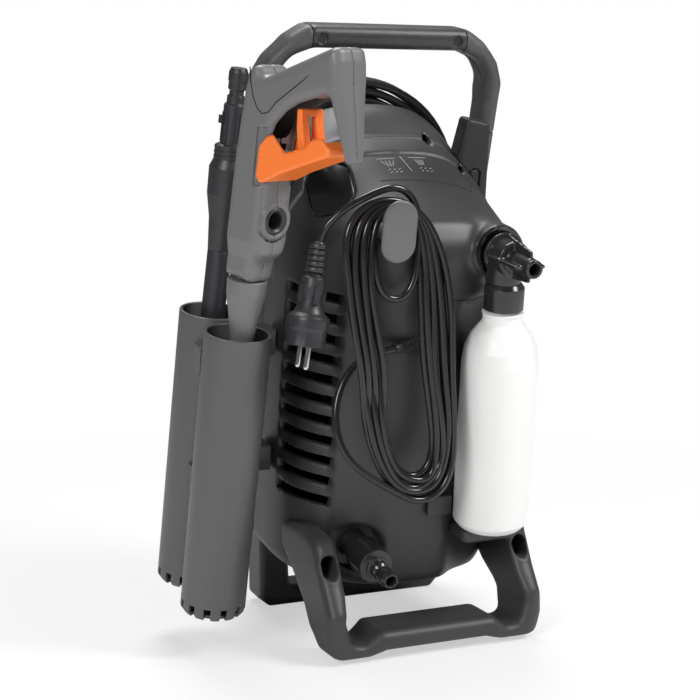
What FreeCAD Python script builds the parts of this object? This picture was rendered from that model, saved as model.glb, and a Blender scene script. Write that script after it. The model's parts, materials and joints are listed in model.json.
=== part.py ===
import FreeCAD, Part
import math
import os
import re
import Sketcher
from FreeCAD import Placement, Rotation, Vector

# Upright electric pressure washer, millimetres.  X to the right, Y to the back, Z up.
# The origin is the middle of the rear foot's bearing face, on the floor.
# The casing, the hoop handle, the holsters and the foam bottle all lean forward together.
# They are drawn upright in the leaning frame (x, d, w): x to the right, d back, w up.

SIZES = {
    "lean_angle": (10.5, "forward lean of the casing, degrees"),
    "foot_gap": (100, "lean pivot ahead of the rear foot's middle"),
    "wall": (3, "casing wall"),
    "half_width": (118, "casing half width at the shoulder"),
    "base_half_width": (112, "casing half width at the bottom"),
    "face_front": (-54, "d of the front face"),
    "face_back": (147, "d of the rear face"),
    "base_height": (60, "w of the casing's underside"),
    "base_back": (119, "d of the underside's rear edge"),
    "heel_height": (92, "w where the rear face starts"),
    "spring_front": (311, "w where the arch springs, at the front"),
    "spring_back": (374, "w where the arch springs, at the back"),
    "top_front": (406, "w of the arch's top, at the front"),
    "top_back": (495, "w of the arch's top, at the back"),
    "arch_front": (-60, "d of the front end of the arch"),
    "arch_back": (150, "d of the rear end of the arch"),
    "brow_height": (385, "w where the front face starts to lean back"),
    "label_front": (20, "d of the label face's front edge"),
    "label_front_height": (440, "w of the label face's front edge"),
    "label_back": (96, "d of the label face's rear edge"),
    "label_back_height": (463, "w of the label face's rear edge"),
    "rim_front": (121, "d of the rim's front edge"),
    "rim_height": (487, "w of the rim's front edge"),
    "rim_back": (136, "d of the rim's rear edge"),
    "crown_height": (489, "w of the top of the rim"),
    "back_corner": (35, "corner radius of the rear edges"),
    "split": (90, "d of the joint between the two shells"),
    "louvre_count": (11, "louvre slots"),
    "louvre_pitch": (19.6, "louvre spacing"),
    "louvre_gap": (7, "louvre slot height"),
    "louvre_first": (138, "w of the lowest louvre"),
    "louvre_edge": (-80, "x where the louvres end"),
    "louvre_back": (38, "d where the louvres end"),
    "pocket_depth": (4, "depth of the nozzle panel's pocket"),
    "panel_reveal": (1.5, "nozzle panel below the casing surface"),
    "panel_gap": (0.2, "clearance round the nozzle panel"),
    "pocket_big": (23, "large radius of the pocket's outline"),
    "pocket_small": (22, "small radius of the pocket's outline"),
    "pocket_length": (26, "distance between the pocket's two radii"),
    "bottle_radius": (35.5, "foam bottle"),
    "bottle_forward": (-68, "d of the bottle's axis"),
    "bottle_x": (54, "x of the foam socket and of the bottle's neck"),
    "bottle_tilt": (2.7, "sideways tilt of the bottle, degrees"),
    "bottle_base": (124, "w of the bottle's foot"),
    "bottle_shoulder": (286, "w where the bottle narrows"),
    "bottle_neck": (326, "w where the neck starts"),
    "bottle_mouth": (356, "w of the bottle's mouth"),
    "neck_radius": (15, "bottle neck"),
    "bottle_wall": (1.4, "bottle wall"),
    "scoop_gap": (2, "clearance behind the bottle"),
    "scoop_top": (342, "w of the scoop's upper end"),
    "cap_radius": (18.3, "foam cap"),
    "cap_bottom": (337, "w of the cap's lower edge"),
    "cap_top": (362, "w of the cap's top"),
    "socket_height": (387, "w of the foam socket's axis"),
    "socket_radius": (23, "foam socket"),
    "socket_front": (-58, "d of the foam socket's mouth"),
    "socket_back": (-30, "d of the foam socket's rear end"),
    "socket_floor": (-49, "d of the foam socket's floor"),
    "plug_radius": (12, "foam unit's plug"),
    "foam_tip": (-119, "d of the foam nozzle's tip"),
    "tip_radius": (8.5, "foam nozzle's tip"),
    "running_gap": (0.3, "clearance between parts that slide or turn by hand"),
    "shaft_gap": (0.05, "clearance of a running shaft"),
    "inlet_x": (-56, "x of the water inlet"),
    "inlet_height": (100, "w of the water inlet"),
    "inlet_floor": (-26, "d of the inlet recess's floor"),
    "inlet_recess": (23, "radius of the inlet recess"),
    "stub_radius": (13.2, "threaded inlet stub, three quarter inch"),
    "stub_bore": (9, "inlet bore"),
    "stub_front": (-64, "d of the stub's mouth"),
    "nut_radius": (17, "hose adapter's nut"),
    "nut_back": (-48, "d of the nut's rear face"),
    "nut_front": (-82, "d of the nut's front face"),
    "nipple_radius": (8.25, "quick-connect nipple"),
    "nipple_front": (-114, "d of the nipple's tip"),
    "hook_x": (-56, "x of the cord hook"),
    "hook_height": (412, "w of the cord hook"),
    "stem_height": (404, "w of the cord hook's stem"),
    "hook_width": (33, "cord hook plate width"),
    "hook_length": (56, "cord hook plate length"),
    "hook_thickness": (5, "cord hook plate thickness"),
    "hook_back": (-68, "d of the plate's rear face"),
    "stem_radius": (6.8, "cord hook stem"),
    "hoop_depth": (36, "handle depth, front to back"),
    "post_front": (102, "d of the posts' front face"),
    "grip_front": (92, "d of the grip bar's front face"),
    "grip_half": (80, "half length of the grip bar"),
    "hoop_top": (568.5, "w of the grip bar's top"),
    "grip_under": (545.5, "w of the grip bar's underside"),
    "hoop_half": (130, "half width at the elbows"),
    "elbow_height": (506, "w of the elbows' widest point"),
    "hoop_foot": (392, "w of the posts' lower ends"),
    "post_width": (20, "post width, side to side"),
    "post_seam": (466, "w of the joint between arm and post bracket"),
    "holster_radius": (30, "holster tube"),
    "holster_wall": (3, "holster tube wall"),
    "holster_x": (-190, "x of the holsters' lower end"),
    "holster_front": (-19, "d of the front holster"),
    "holster_pitch": (70, "distance between the holsters"),
    "holster_base": (45, "w of the holsters' lower end"),
    "holster_length": (267, "holster tube length"),
    "holster_tilt": (2.2, "sideways tilt of the holsters, degrees"),
    "drain_notches": (12, "notches round a holster's lower end"),
    "foot_leg": (110, "outer face of the front foot's legs"),
    "foot_inside": (88, "inner face of the front foot's legs"),
    "foot_half": (101, "half width of both feet on the floor"),
    "front_foot_depth": (48, "depth of the front foot"),
    "foot_forward": (-220, "Y of the front foot's front face"),
    "rear_foot_depth": (40, "depth of the rear foot"),
    "rear_foot_height": (20, "height of the rear foot's bar"),
    "axle_d": (50, "d of the motor and pump axis"),
    "head_height": (107, "w of the pump head's top"),
    "housing_radius": (42, "pump housing"),
    "housing_top": (175, "w of the pump housing's top"),
    "piston_radius": (8, "piston"),
    "piston_circle": (24, "radius of the piston circle"),
    "piston_top": (137, "w of the pistons' tops"),
    "wobble_radius": (34, "wobble plate"),
    "wobble_angle": (8, "wobble plate slant, degrees"),
    "wobble_height": (152, "w of the wobble plate's middle"),
    "shaft_radius": (6, "motor shaft"),
    "motor_radius": (50, "motor case"),
    "motor_wall": (3, "motor case wall"),
    "motor_top": (335, "w of the motor case's top"),
    "plate_thickness": (6, "motor end plates"),
    "stator_bore": (31, "stator bore radius"),
    "core_low": (200, "w of the iron core's lower end"),
    "core_high": (300, "w of the iron core's upper end"),
    "air_gap": (0.6, "between rotor and stator"),
    "bearing_radius": (16, "ball bearing"),
    "fan_radius": (42, "cooling fan"),
    "fan_low": (346, "w of the fan disc"),
    "fan_high": (366, "w of the blades' top"),
    "fan_blades": (9, "fan blades"),
    "outlet_x": (18, "x of the high-pressure outlet"),
    "outlet_height": (88, "w of the high-pressure outlet"),
    "outlet_radius": (11, "outlet thread"),
    "outlet_end": (163, "d of the outlet's end"),
    "knob_d": (70, "d of the power knob"),
    "knob_height": (330, "w of the power knob"),
    "knob_radius": (22, "power knob"),
    "coil_x": (-5, "x of the hose coil"),
    "coil_height": (392, "w of the hose coil's middle"),
    "coil_outer": (121, "hose coil outside radius"),
    "coil_inner": (92, "hose coil inside radius"),
    "coil_front": (149, "d of the hose coil's front"),
    "coil_depth": (27, "hose coil thickness"),
    "hose_diameter": (9, "high-pressure hose"),
    "cord_diameter": (6.5, "power cord"),
    "hank_y": (-234.2, "Y of the cord hank's front"),
    "hank_depth": (10.5, "thickness of the cord hank"),
    "gun_turn": (20, "turn of the gun in its holster, degrees"),
    "gun_half": (19, "half thickness of the gun"),
    "gun_wall": (2.6, "gun shell wall"),
    "barrel_offset": (5.5, "barrel axis ahead of the holster's axis"),
    "trigger_half": (19.5, "half width of the trigger"),
    "trigger_wall": (3, "trigger wall"),
    "nose_half": (16, "half width of the gun inside the trigger"),
    "lock_half": (12.5, "half width of the trigger lock"),
    "port_height": (368, "height of the gun's hose port"),
    "port_radius": (12, "gun's hose port"),
    "port_bore": (7.4, "gun's hose port bore"),
    "lance_low_x": (-194, "x of the lance's lower end"),
    "lance_low": (48.3, "w of the lance's lower end"),
    "lance_tilt": (3.3, "sideways tilt of the lance, degrees"),
    "lance_length": (486, "lance with its nozzle"),
    "lance_radius": (11, "lance tube"),
}

WORD = re.compile(r"[a-z_]+[a-z]")
X_AXIS = Vector(1, 0, 0)
Y_AXIS = Vector(0, 1, 0)
Z_AXIS = Vector(0, 0, 1)
FAR = 400                                   # longer than any cut needs to be
STAND = Rotation(X_AXIS, 90)                # an outline drawn in (x, w), padded towards the front
SIDEWAYS = Rotation(Vector(1, 1, 1), 120)   # an outline drawn in (d, w), padded to the right
AHEAD = Rotation(X_AXIS, 90)                # turns a turned part's axis to point forward
PRESSED_ALONG = Rotation(X_AXIS, -90)       # turns a turned part's axis to point back

doc = FreeCAD.newDocument("pressure_washer")
sheet = doc.addObject("Spreadsheet::Sheet", "Sizes")
for row, (alias, (value, meaning)) in enumerate(SIZES.items(), start=1):
    sheet.set(f"A{row}", meaning)
    sheet.set(f"B{row}", str(value))
    sheet.setAlias(f"B{row}", alias)
doc.recompute()

subparts = {}


# ---------------------------------------------------------------- helpers

def bound(text):
    """Return an expression in which every size's name points at its cell."""
    return WORD.sub(lambda m: f"Sizes.{m.group()}" if m.group() in SIZES else m.group(), str(text))


def mm(text):
    """Return the value of an expression made of sizes."""
    return float(sheet.evalExpression(bound(text)))


LEAN = Placement(Vector(0, -mm("foot_gap"), 0), Rotation(X_AXIS, mm("lean_angle")))


def leaning(x=0, d=0, w=0, rotation=Rotation()):
    """Return a placement in the leaning frame."""
    place = Vector(mm(x), mm(d), mm(w))
    return LEAN.multiply(Placement(place, rotation))


def keep(item, label, placement=None):
    """Register an object as one of the sub-parts."""
    item.Label = label
    if placement is not None:
        item.Placement = placement
    subparts[label] = item
    return item


def plane(body, role):
    """Return one of a body's own origin planes."""
    return [f for f in body.Origin.OriginFeatures if f.Role == role][0]


def outline(body, role, points, closed_by_cells=True):
    """Draw a closed outline of straight lines, its corners bound to the sheet."""
    sketch = body.newObject("Sketcher::SketchObject", "outline")
    sketch.AttachmentSupport = [(plane(body, role), "")]
    sketch.MapMode = "FlatFace"
    places = [Vector(mm(a), mm(b), 0) for a, b in points]
    count = len(places)
    for i in range(count):
        sketch.addGeometry(Part.LineSegment(places[i], places[(i + 1) % count]), False)
    for i in range(count):
        sketch.addConstraint(Sketcher.Constraint("Coincident", i, 2, (i + 1) % count, 1))
    for i, (a, b) in enumerate(points):
        for kind, text, number in (("DistanceX", a, places[i].x), ("DistanceY", b, places[i].y)):
            index = sketch.addConstraint(Sketcher.Constraint(kind, i, 1, number))
            if closed_by_cells and isinstance(text, str):
                sketch.setExpression(f"Constraints[{index}]", bound(text))
    return sketch


def turned(name, points):
    """Return a body turned round its own Z axis from a profile of (radius, height)."""
    body = doc.addObject("PartDesign::Body", name)
    sketch = outline(body, "XZ_Plane", points)
    spin = body.newObject("PartDesign::Revolution", name + "_turn")
    spin.Profile = sketch
    spin.ReferenceAxis = (sketch, ["V_Axis"])
    spin.Angle = 360
    doc.recompute()
    return body


def prism(name, points, depth):
    """Return a body padded along its own Z axis from an outline of (x, y)."""
    body = doc.addObject("PartDesign::Body", name)
    sketch = outline(body, "XY_Plane", points)
    pad = body.newObject("PartDesign::Pad", name + "_pad")
    pad.Profile = sketch
    pad.setExpression("Length", bound(depth))
    doc.recompute()
    return body


def round_cut(body, x, y, radius, depth, count=1):
    """Cut a round hole down from the top of a turned body, repeated round its axis."""
    sketch = body.newObject("Sketcher::SketchObject", "hole")
    sketch.AttachmentSupport = [(plane(body, "XY_Plane"), "")]
    sketch.MapMode = "FlatFace"
    sketch.addGeometry(Part.Circle(Vector(mm(x), mm(y), 0), Z_AXIS, mm(radius)), False)
    sketch.setExpression(
        f"Constraints[{sketch.addConstraint(Sketcher.Constraint('Radius', 0, mm(radius)))}]", bound(radius))
    for kind, text in (("DistanceX", x), ("DistanceY", y)):
        index = sketch.addConstraint(Sketcher.Constraint(kind, 0, 3, mm(text)))
        sketch.setExpression(f"Constraints[{index}]", bound(text))
    pocket = body.newObject("PartDesign::Pocket", "drilled")
    pocket.Profile = sketch
    pocket.Reversed = True
    pocket.setExpression("Length", bound(depth))
    doc.recompute()
    if count > 1:
        repeat_round(body, pocket, sketch, count)
    return body


def repeat_round(body, feature, sketch, count):
    """Repeat a feature round the body's Z axis."""
    pattern = body.newObject("PartDesign::PolarPattern", "round_pattern")
    pattern.Originals = [feature]
    pattern.Axis = (sketch, ["N_Axis"])
    pattern.Angle = 360
    pattern.Occurrences = int(count)
    body.Tip = pattern
    doc.recompute()


def cylinder(name, radius, height, placement=Placement()):
    """Return a cylinder standing on its placement."""
    item = doc.addObject("Part::Cylinder", name)
    item.setExpression("Radius", bound(radius))
    item.setExpression("Height", bound(height))
    item.Placement = placement
    return item


def box(name, length, width, height, placement=Placement()):
    """Return a box with a corner at its placement."""
    item = doc.addObject("Part::Box", name)
    for side, text in (("Length", length), ("Width", width), ("Height", height)):
        item.setExpression(side, bound(text))
    item.Placement = placement
    return item


def cut(name, base, *tools):
    """Return the base less its tools."""
    for number, tool in enumerate(tools, start=1):
        result = doc.addObject("Part::Cut", f"{name}_{number}")
        result.Base = base
        result.Tool = tool
        base = result
    doc.recompute()
    return base


def joined(name, *pieces):
    """Return several pieces moulded as one."""
    result = doc.addObject("Part::MultiFuse", name)
    result.Shapes = list(pieces)
    doc.recompute()
    return result


def shared(name, *pieces):
    """Return the space that all the pieces hold."""
    result = doc.addObject("Part::MultiCommon", name)
    result.Shapes = list(pieces)
    doc.recompute()
    return result


def feature(name, shape, placement=Placement()):
    """Return an object that holds a shape worked out here."""
    item = doc.addObject("Part::Feature", name)
    item.Shape = shape
    item.Placement = placement.multiply(shape.Placement)
    return item


def face(points):
    """Return a flat face with straight sides."""
    return Part.Face(Part.makePolygon(points + points[:1]))


def capsule(big, small, length):
    """Return a face bounded by two round ends, big above and small below, and their tangents."""
    slope = math.asin((big - small) / length)
    reach = Vector(math.cos(slope), -math.sin(slope), 0)
    mirror = Vector(-reach.x, reach.y, 0)
    top = Vector(0, length / 2, 0)
    low = Vector(0, -length / 2, 0)
    edges = [
        Part.Arc(top + reach * big, top + Vector(0, big, 0), top + mirror * big).toShape(),
        Part.LineSegment(top + mirror * big, low + mirror * small).toShape(),
        Part.Arc(low + mirror * small, low - Vector(0, small, 0), low + reach * small).toShape(),
        Part.LineSegment(low + reach * small, top + reach * big).toShape(),
    ]
    return Part.Face(Part.Wire(edges))


# ---------------------------------------------------------------- casing

def side_profile(inset):
    """Return the casing seen from the side, as a face in the plane x = 0."""
    corners = [
        ("face_front", "base_height + 12"), ("face_front", "brow_height"), ("face_front + 18", "brow_height + 27"),
        ("label_front", "label_front_height"), ("label_back", "label_back_height"), ("rim_front", "rim_height"),
        ("rim_back", "crown_height"), ("face_back", "crown_height - 19"), ("face_back", "heel_height"),
        ("base_back", "base_height"), ("face_front + 8", "base_height"),
    ]
    wire = Part.makePolygon([Vector(0, mm(d), mm(w)) for d, w in corners + corners[:1]])
    return Part.Face(wire.makeOffset2D(-inset)) if inset else Part.Face(wire)


def plan_profile(inset):
    """Return the casing seen from above: a half round front, straight sides, rounded rear corners."""
    radius = mm("half_width") - inset
    middle = mm("face_front + half_width")
    back = mm("face_back") - inset
    corner = mm("back_corner") - inset
    bend = corner * (1 - math.sqrt(0.5))
    spots = [
        Vector(-radius, middle, 0), Vector(0, middle - radius, 0), Vector(radius, middle, 0),
        Vector(radius, back - corner, 0), Vector(radius - bend, back - bend, 0), Vector(radius - corner, back, 0),
        Vector(corner - radius, back, 0), Vector(bend - radius, back - bend, 0), Vector(-radius, back - corner, 0),
    ]
    edges = [
        Part.Arc(spots[0], spots[1], spots[2]).toShape(), Part.LineSegment(spots[2], spots[3]).toShape(),
        Part.Arc(spots[3], spots[4], spots[5]).toShape(), Part.LineSegment(spots[5], spots[6]).toShape(),
        Part.Arc(spots[6], spots[7], spots[8]).toShape(), Part.LineSegment(spots[8], spots[0]).toShape(),
    ]
    return Part.Face(Part.Wire(edges))


def front_outline(inset, depth, spring, top):
    """Return the casing's outline across its width at one depth: sides and an elliptical arch."""
    low = mm("base_height") + inset
    base = mm("base_half_width") - inset
    radius = mm("half_width") - inset
    rise = top - inset - spring
    centre = Vector(0, depth, spring)
    right = Vector(radius, depth, spring)
    left = Vector(-radius, depth, spring)
    peak = Vector(0, depth, spring + rise)
    arch = Part.Ellipse(right, peak, centre) if radius >= rise else Part.Ellipse(peak, right, centre)
    ends = [arch.parameter(right), arch.parameter(left)]
    curve = Part.ArcOfEllipse(arch, ends[0], ends[1]).toShape()
    if curve.valueAt((curve.FirstParameter + curve.LastParameter) / 2).z < spring:
        curve = Part.ArcOfEllipse(arch, ends[1], ends[0] + 2 * math.pi).toShape()
    corners = [Vector(-base, depth, low), Vector(base, depth, low)]
    sides = [Part.makeLine(left, corners[0]), Part.makeLine(corners[0], corners[1]), Part.makeLine(corners[1], right)]
    return Part.Wire(Part.__sortEdges__([curve] + sides))


def block(inset):
    """Return the casing as a solid block, drawn in by inset on every side."""
    side = side_profile(inset)
    side.translate(Vector(-FAR, 0, 0))
    above = plan_profile(inset)
    above.translate(Vector(0, 0, -FAR))
    ends = [front_outline(inset, mm(f"arch_{end}"), mm(f"spring_{end}"), mm(f"top_{end}")) for end in ("front", "back")]
    vault = Part.makeLoft(ends, True, True)
    solid = side.extrude(Vector(2 * FAR, 0, 0)).common(above.extrude(Vector(0, 0, 4 * FAR)))
    return solid.common(vault).removeSplitter()


def bottle_space(extra):
    """Return the cylinder that the foam bottle stands in, larger than the bottle by extra."""
    space = Part.makeCylinder(mm("bottle_radius") + extra, mm("scoop_top"), Vector(), Z_AXIS)
    place = bottle_frame()
    drop = place.multVec(Vector(0, 0, -mm("socket_height")))
    space.Placement = Placement(drop, place.Rotation)
    return space


def bottle_frame():
    """Return the bottle's frame inside the leaning frame: its neck axis, tilted sideways."""
    top = Vector(mm("bottle_x"), mm("bottle_forward"), mm("socket_height"))
    return Placement(top, Rotation(Y_AXIS, -mm("bottle_tilt")))


POCKET = Placement(Vector(-74, 46, 426), Rotation(X_AXIS, Vector(0.154, 0.87, 0.466), Vector(-0.6, -0.295, 0.746), "ZYX"))


def pocket_prism(extra):
    """Return the nozzle pocket's outline as a long prism, larger all round by extra."""
    shape = capsule(mm("pocket_big") + extra, mm("pocket_small") + extra, mm("pocket_length"))
    shape.translate(Vector(0, 0, -60))
    prism_shape = shape.extrude(Vector(0, 0, 120))
    prism_shape.Placement = POCKET.multiply(prism_shape.Placement)
    return prism_shape


def along_back(radius, x, w, front, back):
    """Return a cylinder along d in the leaning frame."""
    return Part.makeCylinder(radius, back - front, Vector(x, front, w), Y_AXIS)


def casing():
    """Return the two hollow shells and the nozzle panel."""
    wall = mm("wall")
    depth = mm("pocket_depth")
    outside = block(0)
    pocket = pocket_prism(0).common(outside.cut(block(depth)))
    backing = pocket_prism(wall).common(outside.cut(block(depth + wall)))
    inlet = (mm("inlet_x"), mm("inlet_height"))
    recess = along_back(mm("inlet_recess"), *inlet, -FAR, mm("inlet_floor"))
    recess_wall = along_back(mm("inlet_recess") + wall, *inlet, -FAR, mm("inlet_floor") + wall)
    plain = outside.cut(bottle_space(mm("scoop_gap"))).cut(recess)
    outer = plain.cut(pocket)
    inner = block(wall).cut(backing).cut(bottle_space(mm("scoop_gap") + wall)).cut(recess_wall)
    shell = outer.cut(inner)
    for hole in casing_holes():
        shell = shell.cut(hole)
    cutter = Part.makeBox(2 * FAR, FAR, 4 * FAR, Vector(-FAR, mm("split"), -FAR))
    panel_space = pocket_prism(-mm("panel_gap")).common(block(mm("panel_reveal")).cut(block(depth)))
    keep(feature("front_shell_body", shell.cut(cutter), LEAN), "front_shell")
    keep(feature("rear_shell_body", shell.common(cutter).fuse(hose_hook()).removeSplitter(), LEAN), "rear_shell")
    keep(feature("nozzle_panel_body", panel_space, LEAN), "nozzle_panel")
    return feature("casing_block", plain, LEAN)


def casing_holes():
    """Return the cutters for the louvres and for what passes through the casing."""
    front = mm("face_front") - 10
    holes = []
    for i in range(int(mm("louvre_count"))):
        low = mm("louvre_first") + i * mm("louvre_pitch")
        corner = Vector(-FAR, front, low)
        holes.append(Part.makeBox(FAR + mm("louvre_edge"), mm("louvre_back") - front, mm("louvre_gap"), corner))
    holes.append(along_back(mm("stem_radius + running_gap"), mm("hook_x"), mm("stem_height"), front, 2.5))
    holes.append(along_back(mm("stub_radius"), mm("inlet_x"), mm("inlet_height"), front, mm("inlet_floor") + 5))
    holes.append(along_back(mm("outlet_radius"), mm("outlet_x"), mm("outlet_height"), mm("axle_d"), FAR))
    holes.append(Part.makeCylinder(GLAND_RADIUS, GLAND_INSIDE + 20, gland_point(-GLAND_INSIDE), gland_direction()))
    knob_start = Vector(mm("half_width") - 20, mm("knob_d"), mm("knob_height"))
    holes.append(Part.makeCylinder(KNOB_NECK, 40, knob_start, X_AXIS))
    return holes


def hose_hook():
    """Return the hook on the rear shell that carries the hose coil."""
    half = 14
    top = mm("coil_height") + math.sqrt(mm("coil_inner") ** 2 - half ** 2) - mm("running_gap")
    lip = mm("coil_front + coil_depth") + 1
    corners = [
        (mm("face_back") - 5, top - 14), (lip + 5, top - 10), (lip + 5, top + 16), (lip, top + 16),
        (lip, top), (mm("face_back") - 7, top),
    ]
    arm = face([Vector(mm("coil_x") - half, d, w) for d, w in corners])
    return arm.extrude(Vector(2 * half, 0, 0))


# ---------------------------------------------------------------- power cord, its gland, hank and plug

GLAND_RADIUS = 5.5
GLAND_INSIDE = 12
GLAND_LENGTH = 24
KNOB_NECK = 7


def gland_direction():
    """Return the way the power cord leaves the casing, in the leaning frame."""
    return Vector(-0.93, -0.36, -0.05).normalize()


def gland_point(distance):
    """Return a point on the gland's axis, measured from where it breaks the surface."""
    return Vector(-24, -51.5, 303) + gland_direction() * distance


def route_wire(points):
    """Return straight runs joined by tangent arcs, each arc as large as its runs allow."""
    edges = []
    start = points[0]
    for before, corner, after in zip(points, points[1:], points[2:]):
        back = (before - corner).normalize()
        ahead = (after - corner).normalize()
        reach = 0.45 * min((before - corner).Length, (after - corner).Length)
        half_turn = (math.pi - back.getAngle(ahead)) / 2
        radius = reach / math.tan(half_turn)
        print(f"  bend radius {radius:.0f}")
        entry = corner + back * reach
        leave = corner + ahead * reach
        centre_way = (back + ahead).normalize()
        centre = corner + centre_way * (radius / math.cos(half_turn))
        edges.append(Part.LineSegment(start, entry).toShape())
        edges.append(Part.Arc(entry, centre - centre_way * radius, leave).toShape())
        start = leave
    edges.append(Part.LineSegment(start, points[-1]).toShape())
    return Part.Wire(edges)


def tube_along(points, diameter):
    """Return a round tube that follows a route."""
    wire = route_wire(points)
    way = (points[1] - points[0]).normalize()
    ring = Part.Wire(Part.makeCircle(diameter / 2, points[0], way))
    tube = wire.makePipeShell([ring], True, True)
    print(f"  tube volume {tube.Volume:.0f}, section times length {math.pi * diameter ** 2 / 4 * wire.Length:.0f}")
    return tube


CORD_FEED = [(-68, -213.5, 283), (-85, -211, 273), (-99, -213, 254), (-106, -217, 230),
             (-103, -222, 205), (-91, -227, 184), (-72, -229.5, 169)]
CORD_TAIL = [(-84, -229.5, 411), (-97, -227, 417), (-109, -223, 412), (-117, -219, 399), (-119.5, -217, 384)]
HANK_OUTER = [(-102, 398), (-103, 376), (-98, 340), (-91, 300), (-87, 249), (-80, 198), (-65, 170), (-41, 149),
              (-22, 146), (0, 158), (9, 180), (10, 211), (8, 261), (5, 320), (-9, 382), (-29, 411), (-50, 424),
              (-76, 422), (-92, 412)]
HANK_INNER = [(-70, 399), (-71, 360), (-68, 320), (-58, 270), (-46, 222), (-38, 195), (-34, 215), (-32, 283),
              (-31, 350), (-32, 390), (-38, 408), (-56, 409)]
PLUG_TOP = Vector(-119.5, -217, 384)
PLUG_WAY = Vector(-0.157, 0, -0.988)


def power_cord():
    """Build the gland, the two free stretches of cord, the hank and the plug."""
    gland = turned("cord_gland_body", [
        ("0", -GLAND_INSIDE), (GLAND_RADIUS, -GLAND_INSIDE), (GLAND_RADIUS, 3), ("cord_diameter / 2 + 1", GLAND_LENGTH),
        ("0", GLAND_LENGTH)])
    turn = Rotation(Z_AXIS, gland_direction())
    keep(gland, "cord_gland", LEAN.multiply(Placement(gland_point(0), turn)))
    mouth = LEAN.multVec(gland_point(GLAND_LENGTH))
    feed = [mouth] + [Vector(*p) for p in CORD_FEED]
    keep(feature("cord_feed_body", tube_along(feed, mm("cord_diameter"))), "cord_feed")
    tail = [Vector(*p) for p in CORD_TAIL]
    keep(feature("cord_tail_body", tube_along(tail, mm("cord_diameter"))), "cord_tail")
    front = mm("hank_y")
    ring = face([Vector(x, front, z) for x, z in HANK_OUTER]).cut(face([Vector(x, front, z) for x, z in HANK_INNER]))
    keep(feature("cord_hank_body", ring.extrude(Vector(0, mm("hank_depth"), 0)).Solids[0]), "cord_hank")
    plug()


def plug():
    """Build the mains plug with its bend relief, hanging from the cord, and its two pins."""
    frame = Placement(PLUG_TOP, Rotation(Z_AXIS, PLUG_WAY))
    body = turned("plug_turned", [
        ("0", 0), ("cord_diameter / 2 + 1", 0), (7, 30), (11, 32), (12, 50), (12.5, 62), (18, 66), (18.8, 70),
        (18.8, 76), (17.5, 78), (17.5, 92), ("0", 92)])
    keep(body, "plug_body", frame)
    pin_profile = [("0", 92), (2.4, 92), (2.4, 109.5), (1.6, 111), ("0", 111)]
    pins = [turned(f"pin_{side}", pin_profile) for side in ("left", "right")]
    for pin, side in zip(pins, (-1, 1)):
        pin.Placement = frame.multiply(Placement(Vector(0, side * 9.5, 0), Rotation()))
    keep(feature("plug_pins_body", Part.makeCompound([placed_shape(pin) for pin in pins])), "plug_pins")


def placed_shape(item):
    """Return an object's solid where it stands."""
    doc.recompute()
    return item.Shape.Solids[0]


# ---------------------------------------------------------------- feet

def mirrored(points):
    """Return an outline completed with its own mirror image in x."""
    return points + [(f"-({x})", y) for x, y in reversed(points)]


def feet(casing_block):
    """Build the looped front foot and the bar foot at the back."""
    front_view = mirrored([
        (52, 7), (68, 0), ("foot_half - 4", 0), ("foot_half + 3", 5), ("foot_leg", 26), ("foot_leg", 134),
        ("foot_inside - 2", 134), ("foot_inside", 60), ("foot_inside + 4", 38), ("foot_inside - 2", 18),
        ("foot_inside - 14", 16), (58, 27)])
    loop = prism("front_foot_loop", front_view, 2 * FAR)
    loop.Placement = Placement(Vector(0, FAR, 0), STAND)
    side_view = [
        ("foot_forward", 0), ("foot_forward + front_foot_depth", 0), ("foot_forward + front_foot_depth + 8", 20),
        ("foot_forward + 72", 42), ("foot_forward + 100", 66), ("foot_forward + 126", 84), ("foot_forward + 130", 114),
        ("foot_forward + 70", 114), ("foot_forward + 43", 110), ("foot_forward + 36", 105),
        ("foot_forward + 18", 70), ("foot_forward + 2", 46)]
    slant = prism("front_foot_slant", side_view, 2 * FAR)
    slant.Placement = Placement(Vector(-FAR, 0, 0), SIDEWAYS)
    shelf = box("bottle_shelf", 56, 46, 12, leaning(38, -72, "bottle_base - 17"))
    solid = cut("front_foot_trim", joined("front_foot_raw", shared("front_foot_loops", loop, slant), shelf), casing_block)
    eyes = []
    for side in (-1, 1):
        eye = feature("foot_eye", capsule(7.5, 7.4, 6).extrude(Vector(0, 0, FAR)))
        eye.Placement = Placement(Vector(side * 99, 0, 85), STAND)
        eyes.append(eye)
    keep(cut("front_foot_body", solid, *eyes), "front_foot")
    rear_view = mirrored([(0, 0), ("foot_half - 10", 0), ("foot_half", 10), ("foot_half", 112), ("foot_half - 28", 112),
                          ("foot_half - 32", "rear_foot_height"), (0, "rear_foot_height")])
    rear_view = [p for i, p in enumerate(rear_view) if i not in (0, 6, 7, 13)]
    bar = prism("rear_foot_bar", rear_view, "rear_foot_depth")
    bar.Placement = Placement(Vector(0, mm("rear_foot_depth / 2"), 0), STAND)
    keep(cut("rear_foot_body", bar, casing_block), "rear_foot")


# ---------------------------------------------------------------- hoop handle

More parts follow.
